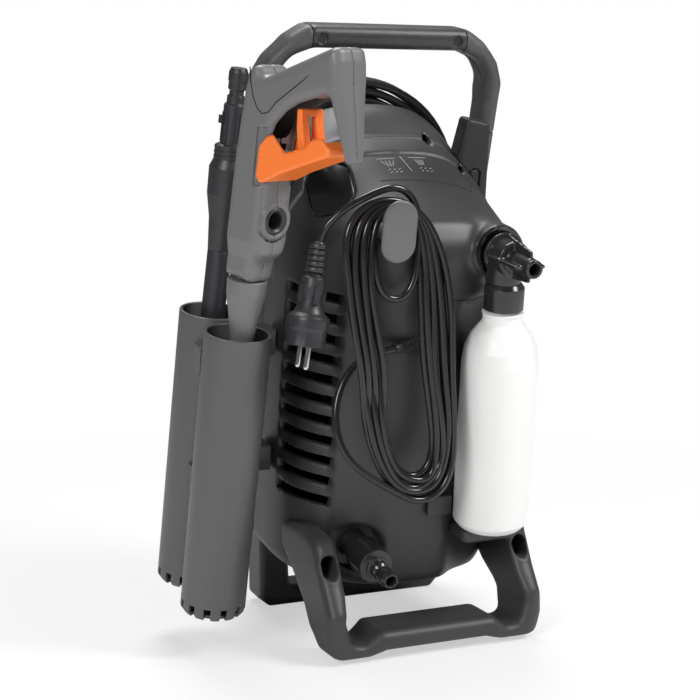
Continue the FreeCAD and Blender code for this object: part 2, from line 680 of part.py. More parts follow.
def handle(casing_block):
    """Build the grip bar, the two elbow arms, the post brackets and the post sockets."""
    outer = [
        ("hoop_half - 6", "hoop_foot"), ("hoop_half", "elbow_height - 8"), ("hoop_half - 0.5", "elbow_height + 9"),
        ("hoop_half - 10", "elbow_height + 30"), ("hoop_half - 28", "hoop_top - 13"), ("hoop_half - 49", "hoop_top")]
    inner = [
        ("hoop_half - post_width - 4", "hoop_foot"), ("hoop_half - post_width + 1", "elbow_height - 11"),
        ("hoop_half - post_width - 1", "elbow_height + 14"), ("hoop_half - post_width - 13", "grip_under - 8"),
        ("hoop_half - post_width - 34", "grip_under")]
    points = outer + [(f"-({x})", w) for x, w in reversed(outer)] + [(f"-({x})", w) for x, w in inner] + inner[::-1]
    hoop = prism("hoop_front", points, 2 * FAR)
    hoop.Placement = leaning(0, FAR, 0, STAND)
    side_view = [
        ("post_front", "hoop_foot - 20"), ("post_front + hoop_depth", "hoop_foot - 20"),
        ("post_front + hoop_depth", "elbow_height + 2"), ("grip_front + hoop_depth", "grip_under + 4"),
        ("grip_front + hoop_depth", "hoop_top + 5"), ("grip_front", "hoop_top + 5"), ("grip_front", "grip_under"),
        ("post_front", "elbow_height - 8")]
    slab = prism("hoop_side", side_view, 2 * FAR)
    slab.Placement = leaning(-FAR, 0, 0, SIDEWAYS)
    whole = cut("hoop", shared("hoop_raw", hoop, slab), casing_block)
    bar_zone = box("bar_zone", "2 * grip_half", FAR, FAR, leaning("-grip_half", 0, "grip_under - 40"))
    keep(shared("handle_grip_body", whole, bar_zone), "handle_grip")
    for side, name in ((-1, "left"), (1, "right")):
        start = "grip_half" if side > 0 else "-grip_half - 400"
        arm_zone = box(f"arm_zone_{name}", FAR, FAR, FAR, leaning(start, 0, "post_seam"))
        keep(shared(f"handle_arm_{name}_body", whole, arm_zone), f"handle_arm_{name}")
        low_zone = box(f"low_zone_{name}", FAR, FAR, FAR, leaning(start, 0, "post_seam - 400"))
        keep(shared(f"post_bracket_{name}_body", whole, low_zone), f"post_bracket_{name}")
        column = [(f"{side} * 73", 432), (f"{side} * 83", 484), (f"{side} * 108", 479), (f"{side} * 112", 403),
                  (f"{side} * 95", 395)]
        post = prism(f"post_socket_{name}_raw", column, 22)
        post.Placement = leaning(0, "post_front", 0, STAND)
        keep(cut(f"post_socket_{name}_body", post, casing_block), f"post_socket_{name}")


# ---------------------------------------------------------------- holsters

def holster_place(row):
    """Return the frame of a holster: 0 is the front one, 1 the rear one."""
    tilt = Rotation(Y_AXIS, mm("holster_tilt"))
    return leaning("holster_x", f"holster_front + {row} * holster_pitch", "holster_base", tilt)


def holsters(casing_block):
    """Build the two holster tubes and the bracket that ties them to each other and to the casing."""
    for row, name in enumerate(("holster_front", "holster_rear")):
        tube = turned(f"{name}_tube", [
            ("6", 0), ("holster_radius - 3", 0), ("holster_radius", 4), ("holster_radius", "holster_length"),
            ("holster_radius - holster_wall", "holster_length"), ("holster_radius - holster_wall", "holster_wall"),
            ("6", "holster_wall")])
        notch = outline(tube, "XY_Plane", [
            ("holster_radius - holster_wall - 2", -3), ("holster_radius + 3", -3), ("holster_radius + 3", 3),
            ("holster_radius - holster_wall - 2", 3)])
        slot = tube.newObject("PartDesign::Pocket", f"{name}_notch")
        slot.Profile = notch
        slot.Reversed = True
        slot.Length = 12
        doc.recompute()
        repeat_round(tube, slot, notch, mm("drain_notches"))
        keep(tube, name, holster_place(row))
    near = "holster_front + 25"
    far = "holster_front + holster_pitch - 3"
    pieces = [box("bracket_strip", 13, "holster_pitch + 2", 140, leaning(-164, near, 150))]
    for level in (150, 266):
        pieces.append(box("bracket_web", 54, 20, 24, leaning(-205, near, level)))
        pieces.append(box("bracket_arm", 60, 24, 24, leaning(-164, far, level)))
    rooms = [cylinder("holster_space", "holster_radius + 0.1", "holster_length", holster_place(row)) for row in (0, 1)]
    keep(cut("holster_bracket_body", joined("bracket_raw", *pieces), *rooms, casing_block), "holster_bracket")


# ---------------------------------------------------------------- water inlet and cord hook

def inlet():
    """Build the threaded stub, the hose adapter that screws on it, the filter and the pipe to the pump."""
    seat = leaning("inlet_x", "inlet_floor", "inlet_height", AHEAD)
    reach = "inlet_floor - stub_front"
    stub = turned("inlet_stub_body", [
        ("stub_bore", -6), ("stub_radius", -6), ("stub_radius", reach), ("stub_bore", reach)])
    keep(stub, "inlet_stub", seat)
    near = "inlet_floor - nut_back"
    far = "inlet_floor - nut_front"
    tip = "inlet_floor - nipple_front"
    adapter = turned("inlet_adapter_body", [
        ("stub_radius + running_gap", near), ("nut_radius", near), ("nut_radius", far), ("nipple_radius + 2", far),
        ("nipple_radius + 2", f"{far} + 3"), ("nipple_radius", f"{far} + 3"), ("nipple_radius", f"{far} + 10"),
        ("nipple_radius - 2", f"{far} + 12"), ("nipple_radius - 2", f"{far} + 16"), ("nipple_radius", f"{far} + 18"),
        ("nipple_radius", f"{tip} - 4"), ("nipple_radius - 1.5", tip), ("nipple_radius - 3.2", tip),
        ("nipple_radius - 3.2", f"{far} - 5"), ("stub_bore - 1", f"{far} - 5"), ("stub_bore - 1", f"{reach} + 2"),
        ("stub_radius + running_gap", f"{reach} + 2")])
    keep(adapter, "inlet_adapter", seat)
    strainer = turned("inlet_filter_body", [
        ("0", 4), (3, 4), ("stub_bore - 1", f"{reach} - 3"), ("stub_bore", f"{reach} - 3"), ("stub_bore", reach),
        ("stub_bore - 2", reach), ("stub_bore - 2", f"{reach} - 3"), (2, 6), ("0", 6)])
    keep(strainer, "inlet_filter", seat)
    start = Vector(mm("inlet_x"), mm("inlet_floor") + 6, mm("inlet_height"))
    corner = Vector(mm("inlet_x"), mm("axle_d"), mm("inlet_height"))
    end = Vector(-HEAD_HALF, mm("axle_d"), mm("inlet_height"))
    bend = 14
    edges = [
        Part.makeLine(start, corner - Vector(0, bend, 0)),
        Part.Arc(corner - Vector(0, bend, 0), corner + Vector(bend, -bend, 0) * (1 - math.sqrt(0.5)),
                 corner + Vector(bend, 0, 0)).toShape(),
        Part.makeLine(corner + Vector(bend, 0, 0), end),
    ]
    wire = Part.Wire(edges)
    outer = wire.makePipeShell([Part.Wire(Part.makeCircle(7, start, Y_AXIS))], True, True)
    bore = wire.makePipeShell([Part.Wire(Part.makeCircle(5, start, Y_AXIS))], True, True)
    flange = along_back(mm("stub_radius"), start.x, start.z, start.y, start.y + 3)
    hole = along_back(5, start.x, start.z, start.y, start.y + 3)
    keep(feature("inlet_pipe_body", outer.fuse(flange).cut(bore).cut(hole), LEAN), "inlet_pipe")


HEAD_HALF = 30


def hooks(casing_block):
    """Build the turning cord hook and the rest behind the bottle's foot."""
    outline_face = capsule(mm("hook_width / 2"), mm("hook_width / 2") - 0.01, mm("hook_length - hook_width"))
    plate = feature("hook_plate", outline_face.extrude(Vector(0, 0, mm("hook_thickness"))))
    plate.Placement = leaning("hook_x", "hook_back", "hook_height", AHEAD)
    stem = cylinder("hook_stem", "stem_radius", "6 - hook_back", leaning("hook_x", 6, "stem_height", AHEAD))
    collar = cylinder("hook_collar", "stem_radius + 2", 3, leaning("hook_x", 6, "stem_height", AHEAD))
    keep(joined("cord_hook_body", plate, stem, collar), "cord_hook")
    rest = box("rest_block", 40, 16, 19, leaning(5, -57, 133))
    space = feature("rest_space", bottle_space(mm("scoop_gap")), LEAN)
    keep(cut("bottle_rest_body", rest, space, casing_block), "bottle_rest")


# ---------------------------------------------------------------- pump and motor

def pump():
    """Build the pump head, the wobble-plate housing, the pistons and the outlet."""
    floor = mm("base_height + wall")
    head = box("head_block", 2 * HEAD_HALF, 50, f"head_height - {floor}", leaning(-HEAD_HALF, "axle_d - 25", floor))
    bores = [cylinder("bore", "piston_radius + shaft_gap", 22, piston_place(i, "head_height - 20")) for i in range(3)]
    inlet_port = cylinder("inlet_port", 5, 12, leaning(-HEAD_HALF - 1, "axle_d", "inlet_height", Rotation(Y_AXIS, 90)))
    keep(cut("pump_head_body", head, *bores, inlet_port), "pump_head")
    housing = turned("pump_housing_body", [
        ("0", "head_height"), ("housing_radius", "head_height"), ("housing_radius", "housing_top"),
        ("housing_radius - 4", "housing_top"), ("housing_radius - 4", "head_height + 5"), ("0", "head_height + 5")])
    round_cut(housing, "piston_circle", "0", "piston_radius + shaft_gap", "head_height + 20", 3)
    keep(housing, "pump_housing", leaning(0, "axle_d", 0))
    pistons = [cylinder("piston", "piston_radius", "piston_top - head_height + 18", piston_place(i, "head_height - 18"))
               for i in range(3)]
    keep(feature("pump_pistons_body", Part.makeCompound([placed_shape(p) for p in pistons])), "pump_pistons")
    outlet = turned("outlet_fitting_body", [
        (4.5, 0), ("outlet_radius", 0), ("outlet_radius", "outlet_end - axle_d - 25"),
        (4.5, "outlet_end - axle_d - 25")])
    keep(outlet, "outlet_fitting", leaning("outlet_x", "axle_d + 25", "outlet_height", PRESSED_ALONG))


def piston_place(number, height):
    """Return the foot of one of the three cylinders."""
    angle = math.radians(120 * number)
    reach = mm("piston_circle")
    return leaning(reach * math.cos(angle), mm("axle_d") + reach * math.sin(angle), height)


def motor():
    """Build the motor: case, bearings, stator, rotor, shaft, fan and the wobble plate on its shaft."""
    axis = leaning(0, "axle_d", 0)
    inner = "motor_radius - motor_wall"
    case = turned("motor_case_body", [
        ("bearing_radius", "housing_top"), ("motor_radius", "housing_top"), ("motor_radius", "motor_top"),
        ("bearing_radius", "motor_top"), ("bearing_radius", "motor_top - plate_thickness"),
        (inner, "motor_top - plate_thickness"), (inner, "housing_top + plate_thickness"),
        ("bearing_radius", "housing_top + plate_thickness")])
    keep(case, "motor_case", axis)
    races = []
    for low in ("housing_top", "motor_top - plate_thickness"):
        race = turned("race", [
            ("shaft_radius + shaft_gap", low), ("bearing_radius", low), ("bearing_radius", f"{low} + plate_thickness"),
            ("shaft_radius + shaft_gap", f"{low} + plate_thickness")])
        race.Placement = axis
        races.append(placed_shape(race))
    keep(feature("motor_bearings_body", Part.makeCompound(races)), "motor_bearings")
    stator = turned("motor_stator_body", [
        ("stator_bore", "core_low"), (inner, "core_low"), (inner, "core_high"), ("stator_bore", "core_high")])
    keep(stator, "motor_stator", axis)
    rotor = turned("motor_rotor_body", [
        ("shaft_radius", "core_low"), ("stator_bore - air_gap", "core_low"), ("stator_bore - air_gap", "core_high"),
        (9, "core_high"), (9, "core_high + 5"), (14, "core_high + 5"), (14, "core_high + 22"),
        ("shaft_radius", "core_high + 22")])
    keep(rotor, "motor_rotor", axis)
    shaft = turned("motor_shaft_body", [
        ("0", "wobble_height - 9"), ("shaft_radius", "wobble_height - 9"), ("shaft_radius", "fan_high + 4"),
        ("0", "fan_high + 4")])
    keep(shaft, "motor_shaft", axis)
    keep(fan(), "motor_fan", axis)
    tilt = Rotation(X_AXIS, mm("wobble_angle"))
    disc = cylinder("wobble_disc", "wobble_radius", 8, leaning(0, "axle_d", "wobble_height - 4", tilt))
    room = cylinder("shaft_room", "shaft_radius", FAR, axis)
    keep(cut("wobble_plate_body", disc, room), "wobble_plate")


def fan():
    """Build the fan: a disc with a hub and straight blades round it."""
    disc = turned("motor_fan_body", [
        ("shaft_radius", "fan_low"), ("fan_radius", "fan_low"), ("fan_radius", "fan_low + 2.5"), (12, "fan_low + 2.5"),
        (12, "fan_high"), ("shaft_radius", "fan_high")])
    blade = outline(disc, "XY_Plane", [(11, -1), ("fan_radius - 1", -1), ("fan_radius - 1", 1), (11, 1)])
    blade.AttachmentOffset = Placement(Vector(0, 0, mm("fan_low + 1")), Rotation())
    pad = disc.newObject("PartDesign::Pad", "blade")
    pad.Profile = blade
    pad.setExpression("Length", bound("fan_high - fan_low - 3"))
    doc.recompute()
    repeat_round(disc, pad, blade, mm("fan_blades"))
    return disc


def switchgear():
    """Build the switch box behind the right side and the knob that turns it."""
    wall_x = "half_width - 6"
    case = box("switch_case", 36, 40, 60, leaning(f"{wall_x} - 36", "knob_d - 20", "knob_height - 30"))
    turn = Rotation(Y_AXIS, 90)
    neck = cylinder("switch_neck", KNOB_NECK, 8, leaning(wall_x, "knob_d", "knob_height", turn))
    bore = cylinder("switch_bore", "4 + shaft_gap", 12, leaning(f"{wall_x} - 3.9", "knob_d", "knob_height", turn))
    keep(cut("switch_box_body", joined("switch_raw", case, neck), bore), "switch_box")
    knob = turned("power_knob_body", [
        ("0", -12), (4, -12), (4, 0), ("knob_radius", 0), ("knob_radius", 6), ("knob_radius - 2", 14), ("0", 14)])
    keep(knob, "power_knob", leaning(f"{wall_x} + 8.3", "knob_d", "knob_height", turn))


# ---------------------------------------------------------------- high-pressure hose

HOSE_LEAD = [(99, 162, 348), (94, 163.5, 318), (84, 165.5, 286), (69, 168, 252), (49, 170.5, 221),
             (31, 173, 190), (20, 174.5, 158), (18, 175, 124)]
HOSE_TAIL = [(-109, 162, 346), (-106, 165, 320), (-101.5, 167.5, 292), (-100.5, 168.5, 262)]


def hose():
    """Build the coiled hose with its two free ends and their fittings."""
    ring = turned("hose_coil_body", [
        ("coil_inner", 3), ("coil_inner + 4", 0), ("coil_outer - 5", 0), ("coil_outer", 5),
        ("coil_outer", "coil_depth - 5"), ("coil_outer - 5", "coil_depth"), ("coil_inner + 4", "coil_depth"),
        ("coil_inner", "coil_depth - 3")])
    keep(ring, "hose_coil", leaning("coil_x", "coil_front", "coil_height", PRESSED_ALONG))
    for name, points in (("hose_lead", HOSE_LEAD), ("hose_tail", HOSE_TAIL)):
        tube = tube_along([Vector(*p) for p in points], mm("hose_diameter"))
        keep(feature(f"{name}_body", tube, LEAN), name)
    end = HOSE_LEAD[-1]
    elbow_back = end[1] - mm("outlet_end")
    swivel = cylinder("swivel", 14.5, elbow_back + 10,
                      leaning("outlet_x", "outlet_end - 10", "outlet_height", PRESSED_ALONG))
    socket = cylinder("elbow_socket", 8, f"{end[2]} - outlet_height", leaning(end[0], end[1], "outlet_height"))
    room = cylinder("thread_room", "outlet_radius", 10,
                    leaning("outlet_x", "outlet_end - 10", "outlet_height", PRESSED_ALONG))
    keep(cut("hose_coupling_body", joined("coupling_raw", swivel, socket), room), "hose_coupling")
    tail_end = Vector(*HOSE_TAIL[-1])
    way = (tail_end - Vector(*HOSE_TAIL[-2])).normalize()
    nipple = turned("hose_nipple_body", [
        ("0", 0), (7, 0), (8, 6), (8, 16), (10, 16), (10, 24), (6.5, 25), (6.5, 33), (5.5, 34), (5.5, 37), (6.5, 38),
        (6.5, 44), ("0", 44)])
    keep(nipple, "hose_nipple", LEAN.multiply(Placement(tail_end, Rotation(Z_AXIS, way))))


# ---------------------------------------------------------------- spray gun

# Outlines in the gun's own frame: first the distance ahead of the holster's axis, then the height
# above the point of that axis seven millimetres over the holster's lower end.
GUN_OUTLINE = [(-7, 311), (20, 311), (33, 326), (34, 345), (34, 436), (39, 451), (51, 464), (65, 473), (98, 486),
               (104, 468), (111, 450), (116, 436), (120, 433), (124, 437), (118, 462), (111, 492), (107, 514),
               (103, 524), (96, 524), (60, 507), (20, 488), (12, 497), (3, 495), (-3, 475), (-7, 420)]
TRIGGER_OUTLINE = [(24, 406), (29, 401), (36, 403), (53, 413), (79, 425), (108, 438), (109, 444), (98, 452),
                   (88, 449), (80, 441), (70, 437), (57, 432), (52, 435), (40, 444), (33, 441), (25, 432)]
TRIGGER_CAVITY = [(10, 395), (35, 395), (35, 406), (52, 416.5), (78, 428.5), (104, 441), (98, 460), (20, 460), (10, 440)]
LOCK_OUTLINE = [(66, 431), (73, 431), (73, 440), (68, 458), (66, 469), (60, 469), (61, 455)]
LOCK_SWEEP = [(30, 428), (92, 428), (92, 478), (80, 482), (66, 482), (52, 478), (42, 471), (32, 459)]
TRIGGER_PIVOT = (27.5, 424)
LOCK_PIVOT = (69.5, 434.5)
GUN_ORIGIN = 7
WAND_FOOT = -3.6


def gun_frame():
    """Return the gun's frame: x ahead, y up along the holster, z to the gun's left."""
    upright = Rotation(Vector(0, -1, 0), Z_AXIS, Vector(-1, 0, 0), "XYZ")
    turn = Rotation(Z_AXIS, mm("gun_turn"))
    start = holster_place(0).multVec(Vector(0, 0, GUN_ORIGIN))
    tilted = holster_place(0).Rotation
    return Placement(start, tilted.multiply(turn).multiply(upright))


def gun_space(name, points, left, right):
    """Return a prism in the gun's frame between two distances from its middle plane."""
    piece = prism(name, points, right - left)
    piece.Placement = gun_frame().multiply(Placement(Vector(0, 0, left), Rotation()))
    return piece


def gun_round(name, centre, radius, left, right):
    """Return a cylinder across the gun between two distances from its middle plane."""
    place = gun_frame().multiply(Placement(Vector(centre[0], centre[1], left), Rotation()))
    return cylinder(name, radius, right - left, place)


def gun():
    """Build the gun: two half shells, trigger, lock, valve, hose port and wand."""
    half = mm("gun_half")
    nose = mm("nose_half")
    gap = mm("running_gap")
    wall = mm("gun_wall")
    plain = Part.Face(Part.makePolygon([Vector(a, b, 0) for a, b in GUN_OUTLINE + GUN_OUTLINE[:1]]).makeOffset2D(-wall))
    hollow = feature("gun_hollow", plain.extrude(Vector(0, 0, 2 * (half - wall))))
    hollow.Placement = gun_frame().multiply(Placement(Vector(0, 0, wall - half), Rotation()))
    cheeks = [gun_space("cheek_room", [(21, 398), (60, 398), (60, 452), (21, 447)], nose, half + 5),
              gun_space("cheek_room", [(21, 398), (60, 398), (60, 452), (21, 447)], -half - 5, -nose)]
    sweep = gun_space("lock_room", LOCK_SWEEP, -mm("lock_half") - gap * 2, mm("lock_half") + gap * 2)
    port_place = gun_frame().multiply(Placement(Vector(16, mm("port_height"), 0), Rotation(Y_AXIS, 90)))
    port_room = cylinder("port_room", "port_radius", 40, port_place)
    barrel_place = gun_frame().multiply(Placement(Vector(mm("barrel_offset"), 0, 0), PRESSED_ALONG))
    valve_room = cylinder("valve_room", 11, 395, barrel_place)
    pivot_room = gun_round("pivot_room", TRIGGER_PIVOT, "2.5 + shaft_gap", -nose - 1, nose + 1)
    for name, low, high in (("gun_half_left", 0, half), ("gun_half_right", -half, 0)):
        raw = gun_space(f"{name}_raw", GUN_OUTLINE, low, high)
        keep(cut(f"{name}_body", raw, hollow, *cheeks, sweep, port_room, valve_room, pivot_room), name)
    keep(trigger(nose), "trigger")
    lock_pin = gun_round("lock_pin", LOCK_PIVOT, 2.5, 1 - mm("trigger_half"), mm("trigger_half") - 1)
    plate = gun_space("lock_plate", LOCK_OUTLINE, -mm("lock_half"), mm("lock_half"))
    slot = gun_space("lock_slot", [(50, 441), (80, 441), (80, 462), (50, 462)], -3, 3)
    keep(joined("trigger_lock_body", cut("lock_cut", plate, slot), lock_pin), "trigger_lock")
    valve = turned("gun_valve_body", [("0", 312), (10.9, 312), (10.9, 394), ("0", 394)])
    keep(valve, "gun_valve", barrel_place)
    port = turned("gun_port_body", [
        ("port_bore", 4), ("port_radius", 4), ("port_radius", 19.5), ("port_bore + 1.5", 19.5), ("port_bore", 18)])
    keep(port, "gun_port", port_place)
    wand = turned("gun_wand_body", [
        ("4", WAND_FOOT), (8, WAND_FOOT), (8, 72), (10.5, 74), (10.5, 262), (11.5, 276), (14, 300), (14, 310.8), ("4", 310.8)])
    keep(wand, "gun_wand", barrel_place)


def trigger(nose):
    """Build the trigger: an open channel round the gun's nose, on its own pivot."""
    half = mm("trigger_half")
    inside = mm("trigger_half - trigger_wall")
    raw = gun_space("trigger_raw", TRIGGER_OUTLINE, -half, half)
    cavity = gun_space("trigger_cavity", TRIGGER_CAVITY, -inside, inside)
    pin = gun_round("trigger_pin", TRIGGER_PIVOT, 2.5, -half, half)
    bore = gun_round("lock_bore", LOCK_PIVOT, "2.5 + shaft_gap", 1 - half, half - 1)
    return joined("trigger_body", cut("trigger_cut", raw, cavity, bore), pin)


# ---------------------------------------------------------------- lance

def lance():
    """Build the lance that stands in the rear holster with its nozzle down."""
    tilt = Rotation(Y_AXIS, mm("lance_tilt"))
    place = leaning("lance_low_x", "holster_front + holster_pitch", "lance_low", tilt)
    nozzle = turned("lance_nozzle_body", [
        (2, 0), (9, 0), (12, 8), (12, 40), (10.5, 44), (5 + 0.35, 44), (5 + 0.35, 20), (2, 20)])
    keep(nozzle, "lance_nozzle", place)
    tube = turned("lance_tube_body", [
        (3, 20.3), (5, 20.3), (5, 44.3), (9, 44.3), ("lance_radius", 50), ("lance_radius", 321), (3, 321)])
    keep(tube, "lance_tube", place)
    top = turned("lance_handle_body", [
        (3, 321), ("lance_radius", 321), (13, 351), (17, 373), (17.5, 397), (14, 405), (14, 417), (10, 419),
        (10, 453), (8, 455), (8, 461), (6.5, 462), (6.5, 466), (8, 467), (8, 473), (8.6, 475), (8.6, 482),
        (7, "lance_length"), (3, "lance_length")])
    keep(top, "lance_handle", place)


# ---------------------------------------------------------------- foam unit

def foam(casing_block):
    """Build the socket on the casing, the foam nozzle, its cap and the bottle."""
    seat = leaning("bottle_x", "socket_back", "socket_height", AHEAD)
    mouth = "socket_back - socket_front"
    floor = "socket_back - socket_floor"
    socket = turned("foam_boss_body", [
        ("0", 0), ("socket_radius", 0), ("socket_radius", mouth),
        ("plug_radius + running_gap", mouth), ("plug_radius + running_gap", floor), ("0", floor)])
    socket.Placement = seat
    keep(cut("foam_boss_cut", socket, casing_block), "foam_boss")
    plug_place = leaning("bottle_x", "socket_floor - running_gap", "socket_height", AHEAD)
    length = mm("socket_floor - running_gap - foam_tip")
    stem = cylinder("foam_stem", "plug_radius", 30, plug_place)
    hub_back = "socket_front - running_gap"
    hub = cylinder("foam_hub", 16, 26, leaning("bottle_x", hub_back, "socket_height", AHEAD))
    tip = cylinder("foam_tip_tube", "tip_radius", length, plug_place)
    hole = cylinder("foam_bore", 4, length + 5, leaning("bottle_x", "bottle_forward - 20", "socket_height", AHEAD))
    flat_fin = box("foam_flat_fin", 42, 40, 3, leaning("bottle_x - 21", "bottle_forward - 38", "socket_height - 1.5"))
    tall_fin = box("foam_tall_fin", 3, 40, 38, leaning("bottle_x - 1.5", "bottle_forward - 38", "socket_height - 19"))
    frame = LEAN.multiply(bottle_frame())
    neck = turned("foam_neck", [("0", "cap_top - socket_height"), (16, "cap_top - socket_height"), (16, -4), ("0", -4)])
    neck.Placement = frame
    socket_room = box("socket_room", 60, 60, 60, leaning("bottle_x - 30", hub_back, "cap_top - 10"))
    stub = cut("foam_stub", neck, socket_room)
    keep(cut("foam_nozzle_body", joined("foam_raw", stem, hub, tip, flat_fin, tall_fin, stub), hole), "foam_nozzle")
    top = "cap_top - socket_height"
    cap = turned("foam_cap_body", [
        ("neck_radius + running_gap", "cap_bottom - socket_height"), ("cap_radius", "cap_bottom - socket_height"),
        ("cap_radius", "cap_top - socket_height - 4"), ("cap_radius - 3", top), ("0", top),
        ("0", "bottle_mouth - socket_height + running_gap"),
        ("neck_radius + running_gap", "bottle_mouth - socket_height + running_gap")])
    keep(cap, "foam_cap", frame)
    base = "bottle_base - socket_height"
    bottle = turned("foam_bottle_body", [
        ("0", base), ("bottle_radius - 5", base), ("bottle_radius", f"{base} + 5"),
        ("bottle_radius", "bottle_shoulder - socket_height"), (33, "bottle_shoulder - socket_height + 16"),
        (27, "bottle_neck - socket_height - 10"), ("neck_radius + 3", "bottle_neck - socket_height"),
        ("neck_radius + 3", "cap_bottom - socket_height - 4"), ("neck_radius", "cap_bottom - socket_height - 4"), ("neck_radius", "bottle_mouth - socket_height"),
        ("neck_radius - bottle_wall", "bottle_mouth - socket_height"),
        ("neck_radius - bottle_wall", "bottle_neck - socket_height"),
        (27 - 2, "bottle_neck - socket_height - 12"), (33 - 1.7, "bottle_shoulder - socket_height + 14"),
        ("bottle_radius - bottle_wall", "bottle_shoulder - socket_height - 1"),
        ("bottle_radius - bottle_wall", f"{base} + 6"), ("bottle_radius - 5", f"{base} + bottle_wall"),
        ("0", f"{base} + bottle_wall")])
    keep(bottle, "foam_bottle", frame)


# ---------------------------------------------------------------- screws

SCREW_HEAD = 3.6
SCREW_LENGTH = 14


def screws():
    """Return the case screws as a group: head and shank of each, with its recess left free."""
    spots = [
        (Vector(-70, mm("grip_front") + 4, 555), Y_AXIS), (Vector(70, mm("grip_front") + 4, 555), Y_AXIS),
        (Vector(124, 116, 437), Vector(-1, 0, 0)), (Vector(-124, 116, 437), X_AXIS),
    ]
    solids = []
    for place, way in spots:
        head = Part.makeCylinder(SCREW_HEAD, 2.4, place, way)
        shank = Part.makeCylinder(1.9, SCREW_LENGTH, place, way)
        solids.append(head.fuse(shank).removeSplitter())
    keep(feature("case_screws_body", Part.makeCompound(solids), LEAN), "case_screws")


# ---------------------------------------------------------------- build, check and write

def check_and_write():
    """Stop on any failed object, then write one STEP file for each sub-part."""
    doc.recompute()
    for item in doc.Objects:
        bad = [s for s in item.State if s in ("Invalid", "Error")]
        if bad:
            raise RuntimeError(f"{item.Name} ({item.Label}) is {bad}")
    for label, item in subparts.items():
        shape = item.Shape
        if shape.isNull() or not shape.isValid() or not shape.Solids:
            raise RuntimeError(f"{label} has no valid solid")
    os.makedirs("parts", exist_ok=True)
    for label, item in subparts.items():
        item.Shape.exportStep(f"parts/{label}.step")
        extent = item.Shape.BoundBox
        print(f"{label}: {len(item.Shape.Solids)} solid(s), {item.Shape.Volume / 1000:.1f} cm3, "
              f"X {extent.XMin:.0f}..{extent.XMax:.0f} Y {extent.YMin:.0f}..{extent.YMax:.0f} "
              f"Z {extent.ZMin:.0f}..{extent.ZMax:.0f}")
    print(f"{len(subparts)} sub-parts written")


casing_block = casing()
power_cord()
feet(casing_block)
handle(casing_block)
holsters(casing_block)
inlet()
hooks(casing_block)
pump()
motor()
switchgear()
hose()
gun()
lance()
foam(casing_block)
screws()
check_and_write()
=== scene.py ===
import json
import logging
import math
from dataclasses import dataclass, field
from enum import Enum
from typing import Callable, Sequence

import bmesh
import bpy
import numpy as np
from mathutils import Matrix, Vector

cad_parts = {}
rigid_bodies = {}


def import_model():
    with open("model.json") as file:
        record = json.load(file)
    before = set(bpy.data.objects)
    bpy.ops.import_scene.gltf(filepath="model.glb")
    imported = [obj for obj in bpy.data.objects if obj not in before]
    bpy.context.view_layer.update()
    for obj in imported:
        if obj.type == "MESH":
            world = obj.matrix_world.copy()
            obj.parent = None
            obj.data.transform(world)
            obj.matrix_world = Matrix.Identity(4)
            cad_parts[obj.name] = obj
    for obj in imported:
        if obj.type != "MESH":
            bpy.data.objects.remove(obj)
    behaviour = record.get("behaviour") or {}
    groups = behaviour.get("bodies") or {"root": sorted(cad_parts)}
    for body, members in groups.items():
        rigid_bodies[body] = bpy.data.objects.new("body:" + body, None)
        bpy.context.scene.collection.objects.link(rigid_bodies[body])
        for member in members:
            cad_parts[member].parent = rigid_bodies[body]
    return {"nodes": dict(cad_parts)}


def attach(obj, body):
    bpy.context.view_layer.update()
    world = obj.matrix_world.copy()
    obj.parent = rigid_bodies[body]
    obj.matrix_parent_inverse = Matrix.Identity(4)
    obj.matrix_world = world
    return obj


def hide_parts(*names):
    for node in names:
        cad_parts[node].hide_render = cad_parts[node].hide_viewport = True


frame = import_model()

# Looks of an upright electric pressure washer.  Sizes are millimetres in the frames below;
# finished meshes are metres in the row frame.

log = logging.getLogger("pressure_washer")
Array = np.ndarray
Colour = tuple[float, float, float, float]
Point = tuple[float, float, float]
Field = Callable[[Array, Array, Array], Array]
Points = Sequence[tuple[float, float]]
NODES = frame["nodes"]
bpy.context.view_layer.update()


# ---------------------------------------------------------------- frames

def moved(x: float, y: float, z: float) -> Matrix:
    """Return a shift."""
    return Matrix.Translation((x, y, z))


def spun(degrees: float, axis: str) -> Matrix:
    """Return a turn about a main axis."""
    return Matrix.Rotation(math.radians(degrees), 4, axis)


def towards(way: Sequence[float]) -> Matrix:
    """Return the shortest turn that brings the Z axis to a direction."""
    return Vector((0, 0, 1)).rotation_difference(Vector(way)).to_matrix().to_4x4()


METRES = Matrix.Scale(0.001, 4)
WORLD = Matrix.Identity(4)
LEAN_DEGREES = 10.5
PIVOT_AHEAD = 100  # from the rear foot's middle to the point the machine leans about
FOAM_X, FOAM_D, FOAM_W = 54, -68, 387  # axis of the foam socket, crossed by the bottle's
BOTTLE_TILT = 2.7
INLET_X, INLET_W = -56, 100
HOOK_X, STEM_W = -56, 404
OUTLET_X, OUTLET_W = 18, 88
KNOB_D, KNOB_W = 70, 330
GRIP_SCREW_X, GRIP_SCREW_W = 70, 555
POST_SCREW_D, POST_SCREW_W = 116, 437
LEAN = moved(0, -PIVOT_AHEAD, 0) @ spun(LEAN_DEGREES, "X")
AHEAD = spun(90, "X")
BEHIND = spun(-90, "X")
BOTTLE = LEAN @ moved(FOAM_X, FOAM_D, FOAM_W) @ spun(-BOTTLE_TILT, "Y")
HOLSTERS = [LEAN @ moved(-190, -19 + 70 * row, 45) @ spun(2.2, "Y") for row in (0, 1)]
GUN = HOLSTERS[0] @ moved(0, 0, 7) @ spun(20, "Z") @ Matrix(
    ((0, 0, -1, 0), (-1, 0, 0, 0), (0, 1, 0, 0), (0, 0, 0, 1)))
BARREL = GUN @ moved(5.5, 0, 0) @ BEHIND
LANCE = LEAN @ moved(-194, 51, 48.3) @ spun(3.3, "Y")
